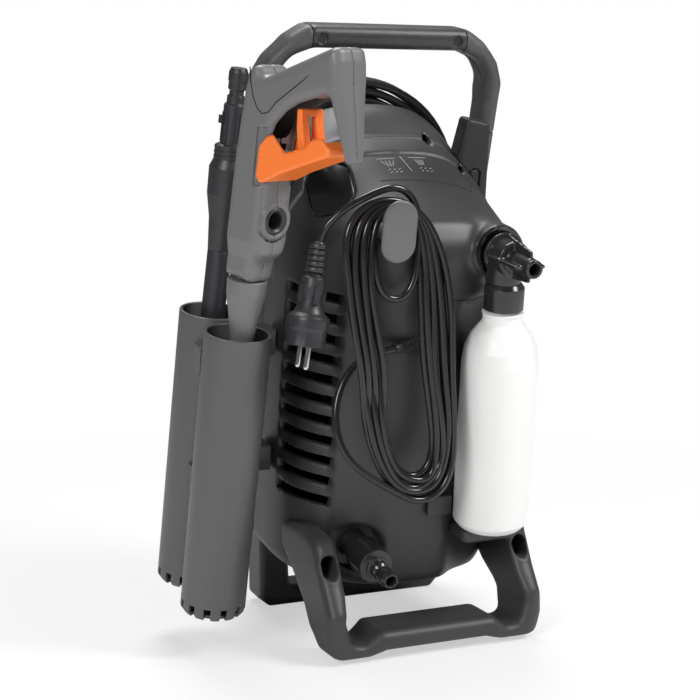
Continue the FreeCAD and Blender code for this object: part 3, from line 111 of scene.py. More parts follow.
INLET = LEAN @ moved(INLET_X, -26, INLET_W) @ AHEAD
PLUG = moved(-119.5, -217, 384) @ towards((-0.157, 0, -0.988))
GLAND = LEAN @ moved(-24, -51.5, 303) @ towards(Vector((-0.93, -0.36, -0.05)).normalized())


class Body(str, Enum):
    """Bodies that the pieces ride on."""

    MACHINE = "machine"
    HOOK = "cord_hook"
    KNOB = "power_knob"
    ADAPTER = "inlet_adapter"
    GUN = "gun"
    TRIGGER = "trigger"
    LOCK = "trigger_lock"
    LANCE = "lance"
    NOZZLE = "lance_nozzle"
    FOAM = "foam_unit"
    BOTTLE = "foam_bottle"


# ---------------------------------------------------------------- finishes

def linear(level: float) -> float:
    """Return the linear value of a display level from 0 to 255."""
    share = level / 255
    return share / 12.92 if share <= 0.04045 else ((share + 0.055) / 1.055) ** 2.4


def tone(red: float, green: float | None = None, blue: float | None = None) -> Colour:
    """Return a linear colour from display levels, a grey where only one is given."""
    return (linear(red), linear(red if green is None else green), linear(red if blue is None else blue), 1.0)


def node_in(tree: bpy.types.NodeTree, kind: str, inputs: dict[str | int, object] | None = None,
            **settings: object) -> bpy.types.Node:
    """Add a node to a tree.

    Args:
        tree: the tree.
        kind: the node's type.
        inputs: values of its inputs, by name or number.
        settings: its other properties.

    Returns:
        The node.
    """
    made = tree.nodes.new(kind)
    for name, value in settings.items():
        setattr(made, name, value)
    for name, value in (inputs or {}).items():
        made.inputs[name].default_value = value
    return made


def wired(tree: bpy.types.NodeTree, *links: tuple[bpy.types.NodeSocket, bpy.types.NodeSocket]) -> None:
    """Link outputs to inputs in a tree."""
    for source, target in links:
        tree.links.new(source, target)


class Effects:
    """Shader groups shared by the finishes."""

    def __init__(self) -> None:
        """Build both groups once."""
        self.grain = self._grain()
        self.wear = self._wear()

    @staticmethod
    def _empty(name: str, number: str, outputs: Sequence[str]) -> tuple[
            bpy.types.ShaderNodeTree, bpy.types.NodeOutputs, bpy.types.NodeInputs]:
        """Return an empty group with its place and number going in, and the sockets inside it.

        Args:
            name: the group's name.
            number: name of its number input.
            outputs: names of what it puts out.

        Returns:
            The group, the sockets of its input node and those of its output node.
        """
        tree = bpy.data.node_groups.new(name, "ShaderNodeTree")
        tree.interface.new_socket("Place", in_out="INPUT", socket_type="NodeSocketVector")
        tree.interface.new_socket(number, in_out="INPUT", socket_type="NodeSocketFloat")
        for output in outputs:
            tree.interface.new_socket(output, in_out="OUTPUT", socket_type="NodeSocketFloat")
        return tree, node_in(tree, "NodeGroupInput").outputs, node_in(tree, "NodeGroupOutput").inputs

    def _grain(self) -> bpy.types.ShaderNodeTree:
        """Return the group for moulded grain: a fine height and a slow drift of shade."""
        tree, given, result = self._empty("moulded_grain", "Fineness", ("Height", "Drift"))
        fine = node_in(tree, "ShaderNodeTexNoise", {"Detail": 3})
        pits = node_in(tree, "ShaderNodeTexVoronoi")
        slow = node_in(tree, "ShaderNodeTexNoise", {"Scale": 14, "Detail": 4})
        mix = node_in(tree, "ShaderNodeMath", {1: 0.45}, operation="MULTIPLY_ADD")
        wired(tree, *[(given["Place"], item.inputs["Vector"]) for item in (fine, pits, slow)],
              *[(given["Fineness"], item.inputs["Scale"]) for item in (fine, pits)],
              (pits.outputs["Distance"], mix.inputs[0]), (fine.outputs["Fac"], mix.inputs[2]),
              (mix.outputs[0], result["Height"]), (slow.outputs["Fac"], result["Drift"]))
        return tree

    def _wear(self) -> bpy.types.ShaderNodeTree:
        """Return the group for rubbed edges: a mask that is strongest on sharp outer corners."""
        tree, given, result = self._empty("rubbed_edges", "Amount", ("Mask",))
        shape = node_in(tree, "ShaderNodeNewGeometry")
        span = node_in(tree, "ShaderNodeMapRange", {"From Min": 0.52, "From Max": 0.64})
        patches = node_in(tree, "ShaderNodeTexNoise", {"Scale": 160})
        product, scaled = (node_in(tree, "ShaderNodeMath", operation="MULTIPLY") for _ in range(2))
        wired(tree, (given["Place"], patches.inputs["Vector"]),
              (shape.outputs["Pointiness"], span.inputs["Value"]),
              (span.outputs["Result"], product.inputs[0]), (patches.outputs["Fac"], product.inputs[1]),
              (product.outputs[0], scaled.inputs[0]), (given["Amount"], scaled.inputs[1]),
              (scaled.outputs[0], result["Mask"]))
        return tree


EFFECTS = Effects()


@dataclass(frozen=True)
class Finish:
    """A moulded, rubbery or metal surface."""

    name: str
    colour: Colour
    slot: str = ""
    rough: float = 0.5
    metallic: float = 0.0
    coat: float = 0.0
    fineness: float = 1100.0
    relief: float = 0.12
    drift: float = 0.12
    wear: float = 0.25
    specular: float = 0.5
    rough_drift: float = 0.07
    translucent: float = 0.0
    stretch: tuple[float, float, float] = (1.0, 1.0, 1.0)

    def material(self) -> bpy.types.Material:
        """Return the Blender material, built the first time it is asked for."""
        made = bpy.data.materials.get(self.name)
        return made if made else self._build()

    def _build(self) -> bpy.types.Material:
        """Return a new material with grain, drift of colour and roughness, and rubbed edges."""
        made = bpy.data.materials.new(self.name)
        made.use_nodes = True
        tree = made.node_tree
        shader = tree.nodes["Principled BSDF"].inputs
        shader["Metallic"].default_value = self.metallic
        shader["Coat Weight"].default_value = self.coat
        shader["Coat Roughness"].default_value = 0.12
        shader["Specular IOR Level"].default_value = self.specular
        if self.translucent:
            shader["Subsurface Weight"].default_value = self.translucent
            shader["Subsurface Radius"].default_value = (0.02, 0.02, 0.02)
        place = node_in(tree, "ShaderNodeTexCoord")
        turn = node_in(tree, "ShaderNodeMapping", {"Scale": self.stretch})
        grain = node_in(tree, "ShaderNodeGroup", node_tree=EFFECTS.grain)
        grain.inputs["Fineness"].default_value = self.fineness
        wear = node_in(tree, "ShaderNodeGroup", node_tree=EFFECTS.wear)
        wear.inputs["Amount"].default_value = self.wear
        ramp = node_in(tree, "ShaderNodeValToRGB")
        for stop, position, change in zip(ramp.color_ramp.elements, (0.3, 0.7), (-self.drift, self.drift)):
            stop.position = position
            stop.color = (*(min(1, c * (1 + change)) for c in self.colour[:3]), 1)
        rub = node_in(tree, "ShaderNodeMix", data_type="RGBA")
        rub.inputs["B"].default_value = (*(min(1, c * 1.9 + 0.01) for c in self.colour[:3]), 1)
        gloss = node_in(tree, "ShaderNodeMapRange", {
            "To Min": max(0.05, self.rough - self.rough_drift),
            "To Max": min(1, self.rough + self.rough_drift)})
        bump = node_in(tree, "ShaderNodeBump", {"Strength": self.relief, "Distance": 0.0004})
        wired(tree, (place.outputs["Object"], turn.inputs["Vector"]),
              (turn.outputs["Vector"], grain.inputs["Place"]), (turn.outputs["Vector"], wear.inputs["Place"]),
              (grain.outputs["Drift"], ramp.inputs["Fac"]), (wear.outputs["Mask"], rub.inputs["Factor"]),
              (ramp.outputs["Color"], rub.inputs["A"]), (rub.outputs["Result"], shader["Base Color"]),
              (grain.outputs["Drift"], gloss.inputs["Value"]), (gloss.outputs["Result"], shader["Roughness"]),
              (grain.outputs["Height"], bump.inputs["Height"]), (bump.outputs["Normal"], shader["Normal"]))
        return made


CASING = Finish("casing_plastic", tone(50), "casing", 0.44, fineness=900)
FOOT = Finish("foot_plastic", tone(56), "casing", 0.48, fineness=800, relief=0.2)
# Painted shade: the rear foot gets a near-black tone for the shade that falls on its bar, not for a darker
# plastic than the front foot.
REAR_FOOT_PAINTED_SHADE = Finish("rear_foot_plastic", tone(10), "rear_foot_plastic", 0.45, specular=0.3, wear=0.08)
GRIP = Finish("grip_plastic", tone(48), "handle_plastic", 0.42)
ARM = Finish("arm_plastic", tone(72), "handle_plastic", 0.5)
POST = Finish("post_plastic", tone(36), "handle_plastic", 0.5, specular=0.4)
TUBE = Finish("holster_plastic", tone(62), "holster_plastic", 0.5, fineness=1000)
GUN_SHELL = Finish("gun_plastic", tone(70), "gun_plastic", 0.48, fineness=1200, relief=0.16)
HOOK = Finish("hook_plastic", tone(74), "hook_plastic", 0.55)
BLACK = Finish("black_plastic", tone(8), "black_plastic", 0.34, specular=0.3, wear=0.1)
GLOSS = Finish("gloss_black_plastic", tone(8), "gloss_black", 0.14, coat=0.3, relief=0.02, wear=0.05)
ADAPTER = Finish("adapter_plastic", tone(6), "adapter_plastic", 0.24, specular=0.35, relief=0.04, wear=0.05)
ORANGE = Finish("orange_plastic", tone(255, 76, 4), "orange_plastic", 0.5, specular=0.25, drift=0.05,
                relief=0.05, wear=0.0)
BOTTLE_WHITE = Finish("bottle_plastic", tone(228), "bottle_plastic", 0.42, drift=0.02, relief=0.05, wear=0.0,
                      translucent=0.25)
CORD = Finish("cord_rubber", tone(4), "cord_rubber", 0.24, coat=0.7, fineness=500, relief=0.1, wear=0.0)
HOSE = Finish("hose_rubber", tone(17), "hose_rubber", 0.4, fineness=600, relief=0.2, wear=0.0)
PIN = Finish("pin_metal", tone(205), "pin_metal", 0.2, 1.0, relief=0.03, wear=0.0, stretch=(1, 1, 0.05))
STEEL = Finish("screw_steel", tone(60), "screw_steel", 0.35, 0.8)
BRASS = Finish("brass", tone(190, 150, 84), "", 0.3, 1.0)
PUMP = Finish("pump_metal", tone(150), "", 0.42, 0.9, relief=0.3)
CORE = Finish("core_steel", tone(110), "", 0.45, 0.9, stretch=(1, 1, 12))
SEAM = Finish("shut_line", tone(10), "", 0.7, wear=0.0)
MARK = Finish("label_ink", tone(190), "", 0.6, relief=0.0, wear=0.0)


# ---------------------------------------------------------------- fields and skins

def soft_max(a: Array, b: Array, edge: float) -> Array:
    """Return the shared space of two fields with its edge rounded.

    Args:
        a: first field.
        b: second field.
        edge: size of the rounding in millimetres.

    Returns:
        The combined field.
    """
    share = np.maximum(edge - np.abs(a - b), 0) / edge
    return np.maximum(a, b) + share * share * edge / 4


def soft_min(a: Array, b: Array, edge: float) -> Array:
    """Return two fields joined with a fillet."""
    return -soft_max(-a, -b, edge)


def filleted(points: Points, radius: float, steps: int = 5, closed: bool = True) -> list[tuple[float, float]]:
    """Return an outline with its corners rounded.

    Args:
        points: corners in order.
        radius: fillet radius, made smaller where a side is short.
        steps: points on each fillet.
        closed: whether the last corner joins the first.

    Returns:
        The rounded outline.
    """
    corners = [Vector(p) for p in points]
    count = len(corners)
    made: list[tuple[float, float]] = []
    for i, corner in enumerate(corners):
        if not closed and i in (0, count - 1):
            made.append(tuple(corner))
            continue
        back, ahead = corners[i - 1] - corner, corners[(i + 1) % count] - corner
        bend = back.angle(ahead)
        if bend > math.pi - 0.02 or radius <= 0:
            made.append(tuple(corner))
            continue
        reach = min(radius / math.tan(bend / 2), 0.45 * back.length, 0.45 * ahead.length)
        start, end = corner + back.normalized() * reach, corner + ahead.normalized() * reach
        for step in range(steps + 1):
            t = step / steps
            made.append(tuple(start * (1 - t) ** 2 + corner * 2 * t * (1 - t) + end * t ** 2))
    return made


def polygon(points: Points, a: Array, b: Array) -> Array:
    """Return the distance to a closed outline, negative inside."""
    nearest = np.full(np.broadcast(a, b).shape, 1e12)
    inside = np.zeros(nearest.shape, bool)
    count = len(points)
    for i in range(count):
        (x0, y0), (x1, y1) = points[i], points[(i + 1) % count]
        ex, ey = x1 - x0, y1 - y0
        px, py = a - x0, b - y0
        t = np.clip((px * ex + py * ey) / max(ex * ex + ey * ey, 1e-9), 0, 1)
        nearest = np.minimum(nearest, (px - ex * t) ** 2 + (py - ey * t) ** 2)
        if y0 != y1:
            crosses = ((y0 > b) != (y1 > b)) & (a < ex * (b - y0) / ey + x0)
            inside ^= crosses
    return np.where(inside, -1, 1) * np.sqrt(nearest)


def capsule_line(a: Array, b: Array, start: tuple[float, float], end: tuple[float, float],
                 radius: float) -> Array:
    """Return the distance to a straight run with round ends in two dimensions."""
    ex, ey = end[0] - start[0], end[1] - start[1]
    t = np.clip(((a - start[0]) * ex + (b - start[1]) * ey) / max(ex * ex + ey * ey, 1e-9), 0, 1)
    return np.hypot(a - start[0] - ex * t, b - start[1] - ey * t) - radius


def rod(a: Array, b: Array, along: Array, centre: tuple[float, float], radius: float, low: float = -math.inf,
        high: float = math.inf) -> Array:
    """Return a round bar as a field.

    Args:
        a: first coordinate across the bar.
        b: second coordinate across it.
        along: coordinate along it.
        centre: its axis, as a and b.
        radius: its radius.
        low: where it starts.
        high: where it ends.

    Returns:
        The field, negative inside.
    """
    return np.maximum(np.hypot(a - centre[0], b - centre[1]) - radius, np.maximum(low - along, along - high))


CORNERS = [(0, 0, 0), (1, 0, 0), (0, 1, 0), (1, 1, 0), (0, 0, 1), (1, 0, 1), (0, 1, 1), (1, 1, 1)]
EDGES = [(0, 1), (2, 3), (4, 5), (6, 7), (0, 2), (1, 3), (4, 6), (5, 7), (0, 4), (1, 5), (2, 6), (3, 7)]


def skin(shape: Field, low: Sequence[float], high: Sequence[float], step: float,
         place: Matrix = LEAN) -> bpy.types.Mesh:
    """Return the closed surface of a field as a quad mesh.

    Args:
        shape: the field, negative inside, in millimetres of its own frame.
        low: lowest corner of the space that is looked at.
        high: highest corner of it.
        step: width of the mesh's faces.
        place: the field's frame.

    Returns:
        A mesh in metres in the row frame.
    """
    axes = [np.arange(lo - 1.6 * step, hi + 1.6 * step, step) for lo, hi in zip(low, high)]
    size = tuple(len(axis) for axis in axes)
    grid = axes[0][:, None, None], axes[1][None, :, None], axes[2][None, None, :]
    value = np.broadcast_to(shape(*grid), size).astype(np.float32)
    full = value < 0
    near = [slice(None, -1), slice(1, None)]
    total = sum(full[near[i], near[j], near[k]].astype(np.int8) for i, j, k in CORNERS)
    cells = np.stack(np.nonzero((total > 0) & (total < 8)), 1)
    number = np.full(tuple(n - 1 for n in size), -1, np.int64)
    number[tuple(cells.T)] = np.arange(len(cells))
    at = [value[tuple((cells + corner).T)] for corner in CORNERS]
    sums, hits = np.zeros((len(cells), 3)), np.zeros(len(cells))
    for first, second in EDGES:
        cross = (at[first] < 0) != (at[second] < 0)
        t = np.where(cross, at[first] / np.where(cross, at[first] - at[second], 1), 0)
        start, way = np.array(CORNERS[first], float), np.array(CORNERS[second], float) - CORNERS[first]
        sums += np.where(cross[:, None], start + t[:, None] * way, 0)
        hits += cross
    points = np.stack([axis[0] + step * (cells[:, i] + sums[:, i] / hits) for i, axis in enumerate(axes)], 1)
    points = settled(shape, points, step)
    faces = []
    for axis in range(3):
        u, v = (axis + 1) % 3, (axis + 2) % 3
        ahead, behind = [slice(None)] * 3, [slice(None)] * 3
        ahead[axis], behind[axis] = slice(1, None), slice(None, -1)
        change = full[tuple(ahead)] != full[tuple(behind)]
        spots = np.stack(np.nonzero(change), 1)
        within = [(spots[:, side] > 0) & (spots[:, side] < size[side] - 1) for side in (u, v)]
        spots = spots[within[0] & within[1]]
        ring = []
        for du, dv in ((1, 1), (0, 1), (0, 0), (1, 0)):
            spot = spots.copy()
            spot[:, u] -= du
            spot[:, v] -= dv
            ring.append(number[tuple(spot.T)])
        quads = np.stack(ring, 1)
        flip = ~full[tuple(spots.T)]
        quads[flip] = quads[flip][:, ::-1]
        faces.append(quads)
    return mesh_of(points, np.concatenate(faces).tolist(), place)


def value_and_slope(shape: Field, points: Array, delta: float) -> tuple[Array, Array]:
    """Return a field's value and slope at points, read over a short distance."""
    x, y, z = points.T
    value = shape(x, y, z)
    slope = np.stack([shape(x + delta, y, z) - value, shape(x, y + delta, z) - value,
                      shape(x, y, z + delta) - value], 1) / delta
    return value, slope


def settled(shape: Field, points: Array, step: float) -> Array:
    """Return the points drawn onto the field's surface."""
    delta = 0.05 * step
    for _ in range(2):
        value, slope = value_and_slope(shape, points, delta)
        steep = np.maximum((slope ** 2).sum(1), 0.2)
        shift = -(value / steep)[:, None] * slope
        length = np.linalg.norm(shift, axis=1)
        points = points + shift * np.minimum(1, 0.7 * step / np.maximum(length, 1e-9))[:, None]
    return points


def mesh_of(points: Array, faces: list, place: Matrix, name: str = "shape") -> bpy.types.Mesh:
    """Return a mesh in the row frame from points in millimetres of a frame."""
    mesh = bpy.data.meshes.new(name)
    mesh.from_pydata(np.asarray(points, float).tolist(), [], faces)
    mesh.transform(METRES @ place)
    mesh.update()
    return mesh


def lathe(profile: Points, place: Matrix, sides: int = 72, fillet: float = 0.6, lobes: int = 0,
          depth: float = 0.0, band: tuple[float, float] = (0, 0)) -> bpy.types.Mesh:
    """Return a turned piece.

    Args:
        profile: (radius, height) along the piece's outside, and back inside if it is hollow.
        place: frame whose Z axis is the turning axis.
        sides: faces round the piece.
        fillet: rounding of the profile's corners.
        lobes: number of flutes round the piece.
        depth: depth of the flutes.
        band: heights between which the flutes run.

    Returns:
        A mesh in metres in the row frame.
    """
    line = filleted(profile, fillet, 4, closed=False)
    angles = np.linspace(0, 2 * math.pi, sides, endpoint=False)
    rings = []
    for radius, height in line:
        reach = np.full(sides, radius)
        if lobes and band[0] <= height <= band[1]:
            reach = reach - depth * (0.5 + 0.5 * np.cos(lobes * angles)) ** 2
        rings.append(np.stack([reach * np.cos(angles), reach * np.sin(angles), np.full(sides, height)], 1))
    faces = []
    for i in range(len(line) - 1):
        for j in range(sides):
            k = (j + 1) % sides
            faces.append((i * sides + j, i * sides + k, (i + 1) * sides + k, (i + 1) * sides + j))
    mesh = mesh_of(np.concatenate(rings), faces, place)
    work = bmesh.new()
    work.from_mesh(mesh)
    bmesh.ops.remove_doubles(work, verts=work.verts, dist=1e-6)
    loose = [e for e in work.edges if e.is_boundary]
    if loose:
        bmesh.ops.holes_fill(work, edges=loose, sides=0)
    bmesh.ops.recalc_face_normals(work, faces=work.faces)
    work.to_mesh(mesh)
    work.free()
    return mesh


def block_mesh(low: Sequence[float], high: Sequence[float], place: Matrix = WORLD) -> bpy.types.Mesh:
    """Return a plain block, used as a rib or a cutter."""
    points = [[(low, high)[(i >> k) & 1][k] for k in range(3)] for i in range(8)]
    faces = [(0, 2, 3, 1), (4, 5, 7, 6), (0, 1, 5, 4), (2, 6, 7, 3), (0, 4, 6, 2), (1, 3, 7, 5)]
    return mesh_of(np.array(points, float), faces, place)


# ---------------------------------------------------------------- repeats

class Repeats:
    """One Geometry Nodes tree that lays copies of a piece in a row, a ring or a spiral."""

    def __init__(self) -> None:
        """Build the tree."""
        self.tree = bpy.data.node_groups.new("repeated_piece", "GeometryNodeTree")
        face = self.tree.interface
        face.new_socket("Piece", in_out="INPUT", socket_type="NodeSocketGeometry")
        self.names: dict[str, str] = {}
        for name, kind in (("Count", "Int"), ("Step", "Vector"), ("Turn", "Float"), ("Shrink", "Float"),
                           ("Finish", "Material")):
            made = face.new_socket(name, in_out="INPUT", socket_type=f"NodeSocket{kind}")
            self.names[name] = made.identifier
        face.new_socket("Pieces", in_out="OUTPUT", socket_type="NodeSocketGeometry")
        new = self.tree.nodes.new
        inside, outside = new("NodeGroupInput"), new("NodeGroupOutput")
        index, spots = new("GeometryNodeInputIndex"), new("GeometryNodePoints")
        shift = node_in(self.tree, "ShaderNodeVectorMath", operation="SCALE")
        turn = node_in(self.tree, "ShaderNodeMath", operation="MULTIPLY")
        size = node_in(self.tree, "ShaderNodeMath", {2: 1}, operation="MULTIPLY_ADD")
        axis, put = new("ShaderNodeCombineXYZ"), new("GeometryNodeInstanceOnPoints")
        real, paint = new("GeometryNodeRealizeInstances"), new("GeometryNodeSetMaterial")
        wired(self.tree, (inside.outputs["Step"], shift.inputs[0]), (index.outputs[0], shift.inputs["Scale"]),
              (inside.outputs["Turn"], turn.inputs[0]), (index.outputs[0], turn.inputs[1]),
              (inside.outputs["Shrink"], size.inputs[0]), (index.outputs[0], size.inputs[1]),
              (inside.outputs["Count"], spots.inputs["Count"]), (shift.outputs[0], spots.inputs["Position"]),
              (turn.outputs[0], axis.inputs["Z"]), (spots.outputs[0], put.inputs["Points"]),
              (inside.outputs["Piece"], put.inputs["Instance"]), (axis.outputs[0], put.inputs["Rotation"]),
              (size.outputs[0], put.inputs["Scale"]), (put.outputs[0], real.inputs[0]),
              (real.outputs[0], paint.inputs["Geometry"]),
              (inside.outputs["Finish"], paint.inputs["Material"]),
              (paint.outputs[0], outside.inputs[0]))

    def laid(self, piece: bpy.types.Mesh, count: int, finish: Finish, place: Matrix,
             step: Sequence[float] = (0, 0, 0), turn: float = 0.0, shrink: float = 0.0) -> bpy.types.Mesh:
        """Return the copies as one plain mesh.

        Args:
            piece: mesh of one copy, in metres about the frame's origin.
            count: number of copies.
            finish: their finish.
            place: frame that they stand in, in millimetres.
            step: shift from one copy to the next, in millimetres.
            turn: turn about Z from one copy to the next, in degrees.
            shrink: change of size from one copy to the next.

        Returns:
            A mesh in metres in the row frame.
        """
        base = standing("repeated", piece)
        modifier = base.modifiers.new("repeats", "NODES")
        modifier.node_group = self.tree
        modifier[self.names["Count"]] = count
        modifier[self.names["Step"]] = [value * 0.001 for value in step]
        modifier[self.names["Turn"]] = math.radians(turn)
        modifier[self.names["Shrink"]] = shrink
        modifier[self.names["Finish"]] = finish.material()
        made = evaluated(base)
        made.transform(METRES @ place @ Matrix.Scale(1000, 4))
        return made


REPEATS = Repeats()


# ---------------------------------------------------------------- pieces

def joined(*meshes: bpy.types.Mesh) -> bpy.types.Mesh:
    """Return several meshes as one."""
    work = bmesh.new()
    for mesh in meshes:
        work.from_mesh(mesh)
    made = bpy.data.meshes.new("joined")
    work.to_mesh(made)
    work.free()
    return made


def evaluated(item: bpy.types.Object) -> bpy.types.Mesh:
    """Return the plain mesh that an object's modifiers make, and remove the object."""
    made = bpy.data.meshes.new_from_object(item.evaluated_get(bpy.context.evaluated_depsgraph_get()))
    bpy.data.objects.remove(item)
    return made


def standing(name: str, data: bpy.types.ID) -> bpy.types.Object:
    """Return a new object in the scene that shows a mesh, curve, lamp or camera."""
    item = bpy.data.objects.new(name, data)
    bpy.context.scene.collection.objects.link(item)
    return item


def less(base: bpy.types.Mesh, *cutters: bpy.types.Mesh) -> bpy.types.Mesh:
    """Return a mesh with the cutters taken out of it."""
    keep, tool = standing("keep", base), standing("tool", joined(*cutters))
    modifier = keep.modifiers.new("less", "BOOLEAN")
    modifier.operation, modifier.solver, modifier.object = "DIFFERENCE", "EXACT", tool
    made = evaluated(keep)
    bpy.data.objects.remove(tool)
    return made


def thinned(mesh: bpy.types.Mesh, share: float) -> bpy.types.Mesh:
    """Return a mesh with that share of its faces."""
    item = standing("thinned", mesh)
    item.modifiers.new("thin", "DECIMATE").ratio = share
    return evaluated(item)


def put(name: str, mesh: bpy.types.Mesh, finish: Finish, body: Body, nodes: Sequence[str] = (),
        slot: str = "", crease: float = 38.0) -> bpy.types.Object:
    """Place a finished piece in the scene.

    Args:
        name: piece name.
        mesh: mesh in metres in the row frame.
        finish: its finish.
        body: the body that it rides on.
        nodes: CAD nodes that it stands for.
        slot: not used.
        crease: angle past which an edge is drawn sharp, in degrees.

    Returns:
        The object.
    """
    mesh.name = name
    mesh.materials.clear()
    mesh.materials.append(finish.material())
    mesh.polygons.foreach_set("material_index", [0] * len(mesh.polygons))
    mesh.shade_smooth()
    mesh.set_sharp_from_angle(angle=math.radians(crease))
    piece = standing(name, mesh)
    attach(piece, body.value)
    if nodes:
        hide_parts(*nodes)
    log.info("%s: %d faces on %s", name, len(mesh.polygons), body.value)
    return piece


def shown(node: str, look: str, mesh: bpy.types.Mesh, finish: Finish, body: Body = Body.MACHINE,
          crease: float = 38.0) -> bpy.types.Object:
    """Show a CAD node as a finished piece.

    Args:
        node: the node that the piece stands for.
        look: word added to its name.
        mesh: mesh in metres in the row frame.
        finish: its finish, which also names its slot.
        body: the body that it rides on.
        crease: angle past which an edge is drawn sharp, in degrees.

    Returns:
        The object.
    """
    return put(f"{node}_{look}", mesh, finish, body, [node], finish.slot, crease)


def copied(node: str, finish: Finish, edge: float, slot: str = "") -> bpy.types.Object:
    """Replace a CAD node of the machine by a copy with its edges broken.

    Args:
        node: the node.
        finish: its finish.
        edge: width of the broken edges in millimetres.
        slot: material slot of the record, where it isn't the finish's.

    Returns:
        The object.
    """
    work = bmesh.new()
    work.from_mesh(NODES[node].data)
    bmesh.ops.remove_doubles(work, verts=work.verts, dist=2e-6)
    bmesh.ops.dissolve_limit(work, angle_limit=math.radians(1.5), verts=work.verts, edges=work.edges)
    mesh = bpy.data.meshes.new(node)
    work.to_mesh(mesh)
    work.free()
    piece = put(f"{node}_moulded", mesh, finish, Body.MACHINE, [node], slot or finish.slot, 60)
    bevel = piece.modifiers.new("broken_edges", "BEVEL")
    bevel.width, bevel.segments, bevel.limit_method = edge * 0.001, 2, "ANGLE"
    bevel.angle_limit, bevel.harden_normals = math.radians(32), True
    return piece


def line_piece(name: str, points: Sequence[Sequence[float]], radius: float, finish: Finish, body: Body,
               place: Matrix = WORLD) -> bpy.types.Object:
    """Return a thin smooth line of material through points given in millimetres of a frame."""
    curve = bpy.data.curves.new(name, "CURVE")
    curve.dimensions, curve.bevel_depth, curve.bevel_resolution = "3D", radius * 0.001, 2
    spline = curve.splines.new("POLY")
    spline.points.add(len(points) - 1)
    for spot, point in zip(spline.points, points):
        spot.co = (*(METRES @ place @ Vector(point)), 1)
    return put(name, evaluated(standing(name, curve)), finish, body)


def cord_curve(name: str, points: Sequence[Sequence[float]], diameter: float, finish: Finish,
               body: Body) -> bpy.types.Object:
    """Return a free cord as one open NURBS spline through its route, given in metres."""
    curve = bpy.data.curves.new(name, "CURVE")
    curve.dimensions, curve.resolution_u = "3D", 5
    curve.bevel_depth, curve.bevel_resolution, curve.use_fill_caps = diameter / 2, 4, True
    spline = curve.splines.new("NURBS")
    spline.points.add(len(points) - 1)
    for spot, point in zip(spline.points, points):
        spot.co = (*point, 1)
    spline.order_u = 3
    spline.use_endpoint_u = True
    curve.materials.append(finish.material())
    item = standing(name, curve)
    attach(item, body.value)
    return item


# ---------------------------------------------------------------- cords

